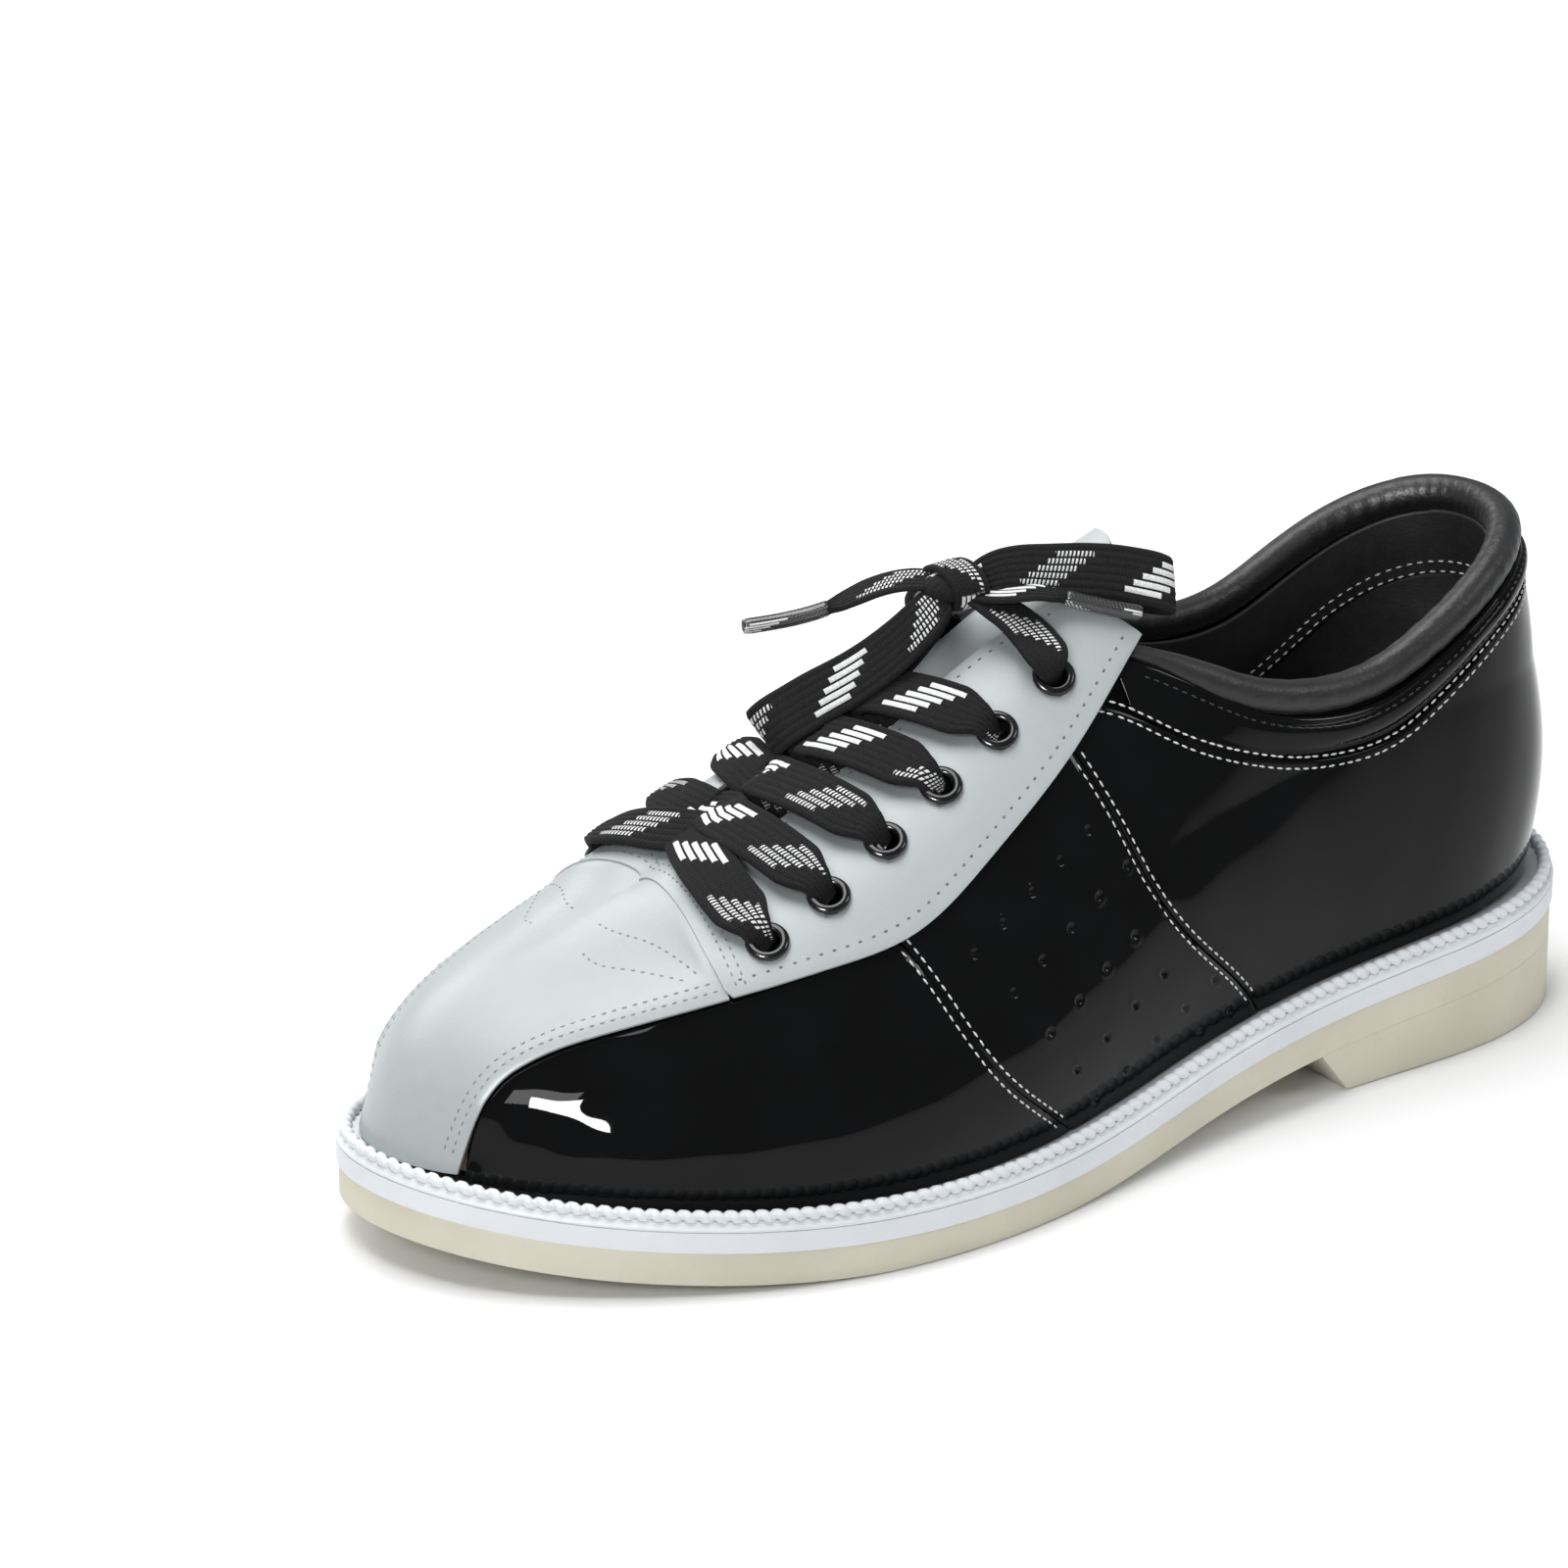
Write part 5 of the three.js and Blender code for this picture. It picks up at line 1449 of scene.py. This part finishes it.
# %% Light leather finish
LIGHT = (0.93, 1.0, 1.0)
light = Finish("light_grey_leather", Coat_Weight=0.12, Coat_Roughness=0.3, Specular_IOR_Level=0.45)
mottle = light.cloudy(45.0, 5.0) * 0.6 + light.cloudy(260.0, 3.0) * 0.4
light.drive("Base Color", light.ramp(mottle, (0.3, grey(0.435, LIGHT)), (0.7, grey(0.465, LIGHT))))
light.drive("Roughness", 0.36 + light.cloudy(700.0) * 0.14)
light.relief(light.cells(1600.0) * 0.6 + light.cloudy(1100.0, 4.0) * 0.4, 0.07 * MM, 0.5)

# %% [markdown]
# ## Lace braid
# The tracer shows as slanted groups of white dashes: each dash is a thread that comes to the surface
# in one rib, and the next rib's dash starts a little later. Some groups are broken into dots where
# the white thread passes over and under. All of it follows the ribbon's UV map, which holds metres
# along and across the lace.

# %% Braid finish
def braid(name, **settings):
    cloth = Finish(name, **settings)
    u, v = cloth.flat()
    rib = (v + LACE_WIDTH / 2) * (RIBS / LACE_WIDTH)
    lane = rib.floor()
    slant = u * (1 / (23 * MM)) + lane * 0.085
    phase, turn_of = slant.fraction(), slant.floor()
    dash = (phase < 0.36) * (lane > 0.5) * (lane < 5.5)
    dotted = ((turn_of * 0.5).fraction() > 0.25)
    twill = (u * (1 / (0.85 * MM)) + rib * 0.5).fraction()
    shown = dash * (1 - dotted * (twill > 0.5))
    across_rib = ((rib.fraction() - 0.5) * 2).size()
    thread = shown * (across_rib < 0.72)
    fibre = cloth.cloudy(2600.0, 2.0)
    cloth.drive("Base Color", cloth.mix(thread, cloth.ramp(fibre, (0.3, grey(0.004)), (0.75, grey(0.014))),
                                        cloth.ramp(fibre, (0.3, grey(0.6)), (0.7, grey(0.85)))))
    strands_up = (1 - across_rib * across_rib) * 0.6 + (twill - 0.5).size() * 0.5 + thread * 0.25
    cloth.relief(strands_up + fibre * 0.15, 0.28 * MM, 0.8)
    return cloth


lace_cloth = braid("lace_braid", Roughness=0.85, Specular_IOR_Level=0.15, Sheen_Weight=0.03,
                   Sheen_Roughness=0.5)
tip_plastic = braid("lace_under_clear_tip", Roughness=0.4, Coat_Weight=1.0, Coat_Roughness=0.06)

# %% Threads
def thread_finish(name, low, high, rough):
    thread = Finish(name, Roughness=rough, Specular_IOR_Level=0.3, Sheen_Weight=0.2)
    thread.drive("Base Color", thread.ramp(thread.cloudy(1500.0), (0.3, low), (0.7, high)))
    thread.relief(thread.cloudy(3000.0, 3.0), 0.1 * MM, 0.7)
    return thread


white_thread = thread_finish("white_thread", grey(0.62), grey(0.82), 0.55)
# The light thread is a light grey made darker than the stripe it is sewn on. Its tone is partly the thread's
# own and partly painted shade for the small shadows at each stitch.
light_thread_painted_shade = thread_finish("light_thread_painted_shade", grey(0.20, LIGHT), grey(0.34, LIGHT), 0.6)
dark_thread = thread_finish("grey_thread", grey(0.10), grey(0.19), 0.6)
black_thread = thread_finish("black_thread", grey(0.006), grey(0.015), 0.5)

# %% [markdown]
# ## Rubber, metal and board
# The welt and midsole are white moulded rubber with a faint cool cast. The outsole is a warm cream
# compound with small dark specks. The inner parts get simple finishes of their own.

# %% Rubber finishes
white_rubber = Finish("white_rubber_sole", Specular_IOR_Level=0.45)
stain = white_rubber.cloudy(40.0, 6.0)
white_rubber.drive("Base Color", white_rubber.ramp(stain, (0.3, grey(0.74, (.95, .985, 1.03))),
                                                   (0.75, grey(0.84, (.96, .99, 1.02)))))
white_rubber.drive("Roughness", 0.42 + white_rubber.cloudy(300.0) * 0.16)
white_rubber.relief(white_rubber.cloudy(1400.0, 3.0), 0.06 * MM, 0.5)

cream_rubber = Finish("cream_rubber_sole", Specular_IOR_Level=0.4)
speck = cream_rubber.cloudy(2200.0, 2.0) > 0.7
warm = cream_rubber.ramp(cream_rubber.cloudy(35.0, 5.0), (0.3, (0.61, 0.58, 0.46, 1)),
                         (0.7, (0.70, 0.67, 0.55, 1)))
cream_rubber.drive("Base Color", cream_rubber.mix(speck * 0.25, warm, (0.38, 0.35, 0.27, 1)))
cream_rubber.drive("Roughness", 0.5 + cream_rubber.cloudy(260.0) * 0.2)
cream_rubber.relief(cream_rubber.cloudy(900.0, 4.0), 0.1 * MM, 0.5)

# %% Finishes of the eyelets and the inner parts
enamel = Finish("eyelet_enamel", Coat_Weight=0.4, Coat_Roughness=0.04, Specular_IOR_Level=0.25)
enamel.drive("Base Color", enamel.ramp(enamel.cloudy(500.0), (0.3, grey(0.003)), (0.7, grey(0.006))))
enamel.drive("Roughness", 0.14 + enamel.cloudy(800.0) * 0.12)

board = Finish("fibre_board", Specular_IOR_Level=0.2)
board.drive("Base Color", board.ramp(board.cloudy(700.0, 5.0), (0.3, (0.36, 0.26, 0.15, 1)),
                                     (0.7, (0.52, 0.40, 0.26, 1))))
board.drive("Roughness", 0.75 + board.cloudy(200.0) * 0.2)

cork = Finish("cork_crumb", Specular_IOR_Level=0.2, Roughness=0.9)
crumb = cork.cells(450.0)
cork.drive("Base Color", cork.ramp(crumb, (0.1, (0.33, 0.19, 0.09, 1)), (0.6, (0.48, 0.31, 0.17, 1))))
cork.relief(crumb, 0.4 * MM, 0.7)

steel = Finish("shank_steel", Metallic=1.0)
steel.drive("Base Color", steel.ramp(steel.cloudy(120.0), (0.3, grey(0.42)), (0.7, grey(0.56))))
steel.drive("Roughness", 0.28 + steel.cloudy(900.0) * 0.2)

foam = Finish("open_foam", Specular_IOR_Level=0.2, Roughness=0.95)
foam.drive("Base Color", foam.ramp(foam.cells(1500.0), (0.1, (0.55, 0.47, 0.25, 1)),
                                   (0.6, (0.74, 0.66, 0.40, 1))))
foam.relief(foam.cells(1500.0), 0.3 * MM, 0.8)

sock_cloth = Finish("sock_liner_cloth", Specular_IOR_Level=0.2, Roughness=0.88, Sheen_Weight=0.2)
sock_cloth.drive("Base Color", sock_cloth.ramp(sock_cloth.cloudy(1800.0), (0.3, grey(0.008)),
                                               (0.7, grey(0.02))))
sock_cloth.relief(sock_cloth.cells(1300.0), 0.2 * MM, 0.7)

# %% [markdown]
# ## Everything in its place
# Each piece gets its finish and the body that it moves with. The tongue and its parts ride on the tongue, the
# sock liner lifts out, and the rest is the shoe.

# %% Dress the pieces
def dress(pieces, finish, body="shoe"):
    for piece in pieces:
        piece.data.materials.clear()
        piece.data.materials.append(finish.material)
        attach(piece, body)


dress(panels + [collar_band], patent)
dress([collar_roll], soft)
dress([collar_inside, *linings], lining)
dress([tongue_inside], lining, "tongue")
dress(light_pieces, light)
dress([tongue_cover], light, "tongue")
dress(laces, lace_cloth)
dress(tips, tip_plastic)
dress(eyelets, enamel)
dress([midsole, welt, bead], white_rubber)
dress([outsole, heel], cream_rubber)
dress(white_rows + [inside_rows], white_thread)
# These rows use the light thread, whose darker tone holds painted shade for the shadows at each stitch.
dress([light_rows, leaf, backstay_rows], light_thread_painted_shade)
dress([tongue_rows], light_thread_painted_shade, "tongue")
dress([dark_rows], dark_thread)
dress([crease_rows], black_thread)
dress([collar_pad], foam)
dress(stiffeners, board)
dress([tongue_pad], foam, "tongue")
dress([sock], sock_cloth, "sock")

# %% Dress the nodes that the CAD shapes well already
for node, finish in (("cork_filler", cork), ("shank", steel), ("insole_board", board)):
    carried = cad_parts[node]
    carried.data.materials.clear()
    carried.data.materials.append(finish.material)
shown = list(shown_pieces())
print(len(shown), "pieces,", sum(len(p.data.polygons) for p in shown), "faces")

# %% [markdown]
# ## Studio
# A white floor and soft white light from above and both sides, as for a catalogue. Patent leather
# shows the lights themselves, so their size and place matter more than their power.

# %% Floor and lights
bm = bmesh.new()
bmesh.ops.create_grid(bm, x_segments=1, y_segments=1, size=2.5)
floor = piece_from(bm, "floor", turn_outwards=False)
for vert in floor.data.vertices:
    vert.co.z = -0.0003
paper = Finish("white_paper", Roughness=0.9, Specular_IOR_Level=0.1)
paper.drive("Base Color", paper.ramp(paper.cloudy(3.0), (0.3, grey(0.87)), (0.7, grey(0.9))))
floor.data.materials.append(paper.material)


def softbox(name, at, wide, tall, power, target=(0, 0, 0.04), only_glints=False):
    light_data = bpy.data.lights.new(name, "AREA")
    light_data.shape, light_data.size, light_data.size_y = "RECTANGLE", wide, tall
    light_data.energy = power
    lamp = bpy.data.objects.new(name, light_data)
    bpy.context.scene.collection.objects.link(lamp)
    lamp.location = at
    lamp.visible_diffuse = not only_glints
    lamp.rotation_euler = (Vector(target) - Vector(at)).to_track_quat("-Z", "Y").to_euler()


softbox("overhead", (-0.1, 0.25, 1.5), 1.3, 0.9, 24)
softbox("toe_side", (-1.25, -0.78, 0.9), 0.6, 0.4, 6)
softbox("toe_glint", (-1.16, -0.9, 0.74), 0.40, 0.30, 30, only_glints=True)
softbox("heel_side", (1.25, -1.15, 1.35), 0.7, 0.4, 7)
softbox("behind", (-0.2, 1.5, 0.9), 1.2, 0.5, 8)
world = bpy.data.worlds.new("studio")
bpy.context.scene.world = world
world.use_nodes = True
sky = world.node_tree.nodes["Background"]
sky.inputs["Color"].default_value, sky.inputs["Strength"].default_value = (0.93, 0.96, 1.0, 1.0), 0.28
bpy.context.scene.view_settings.view_transform = "Standard"
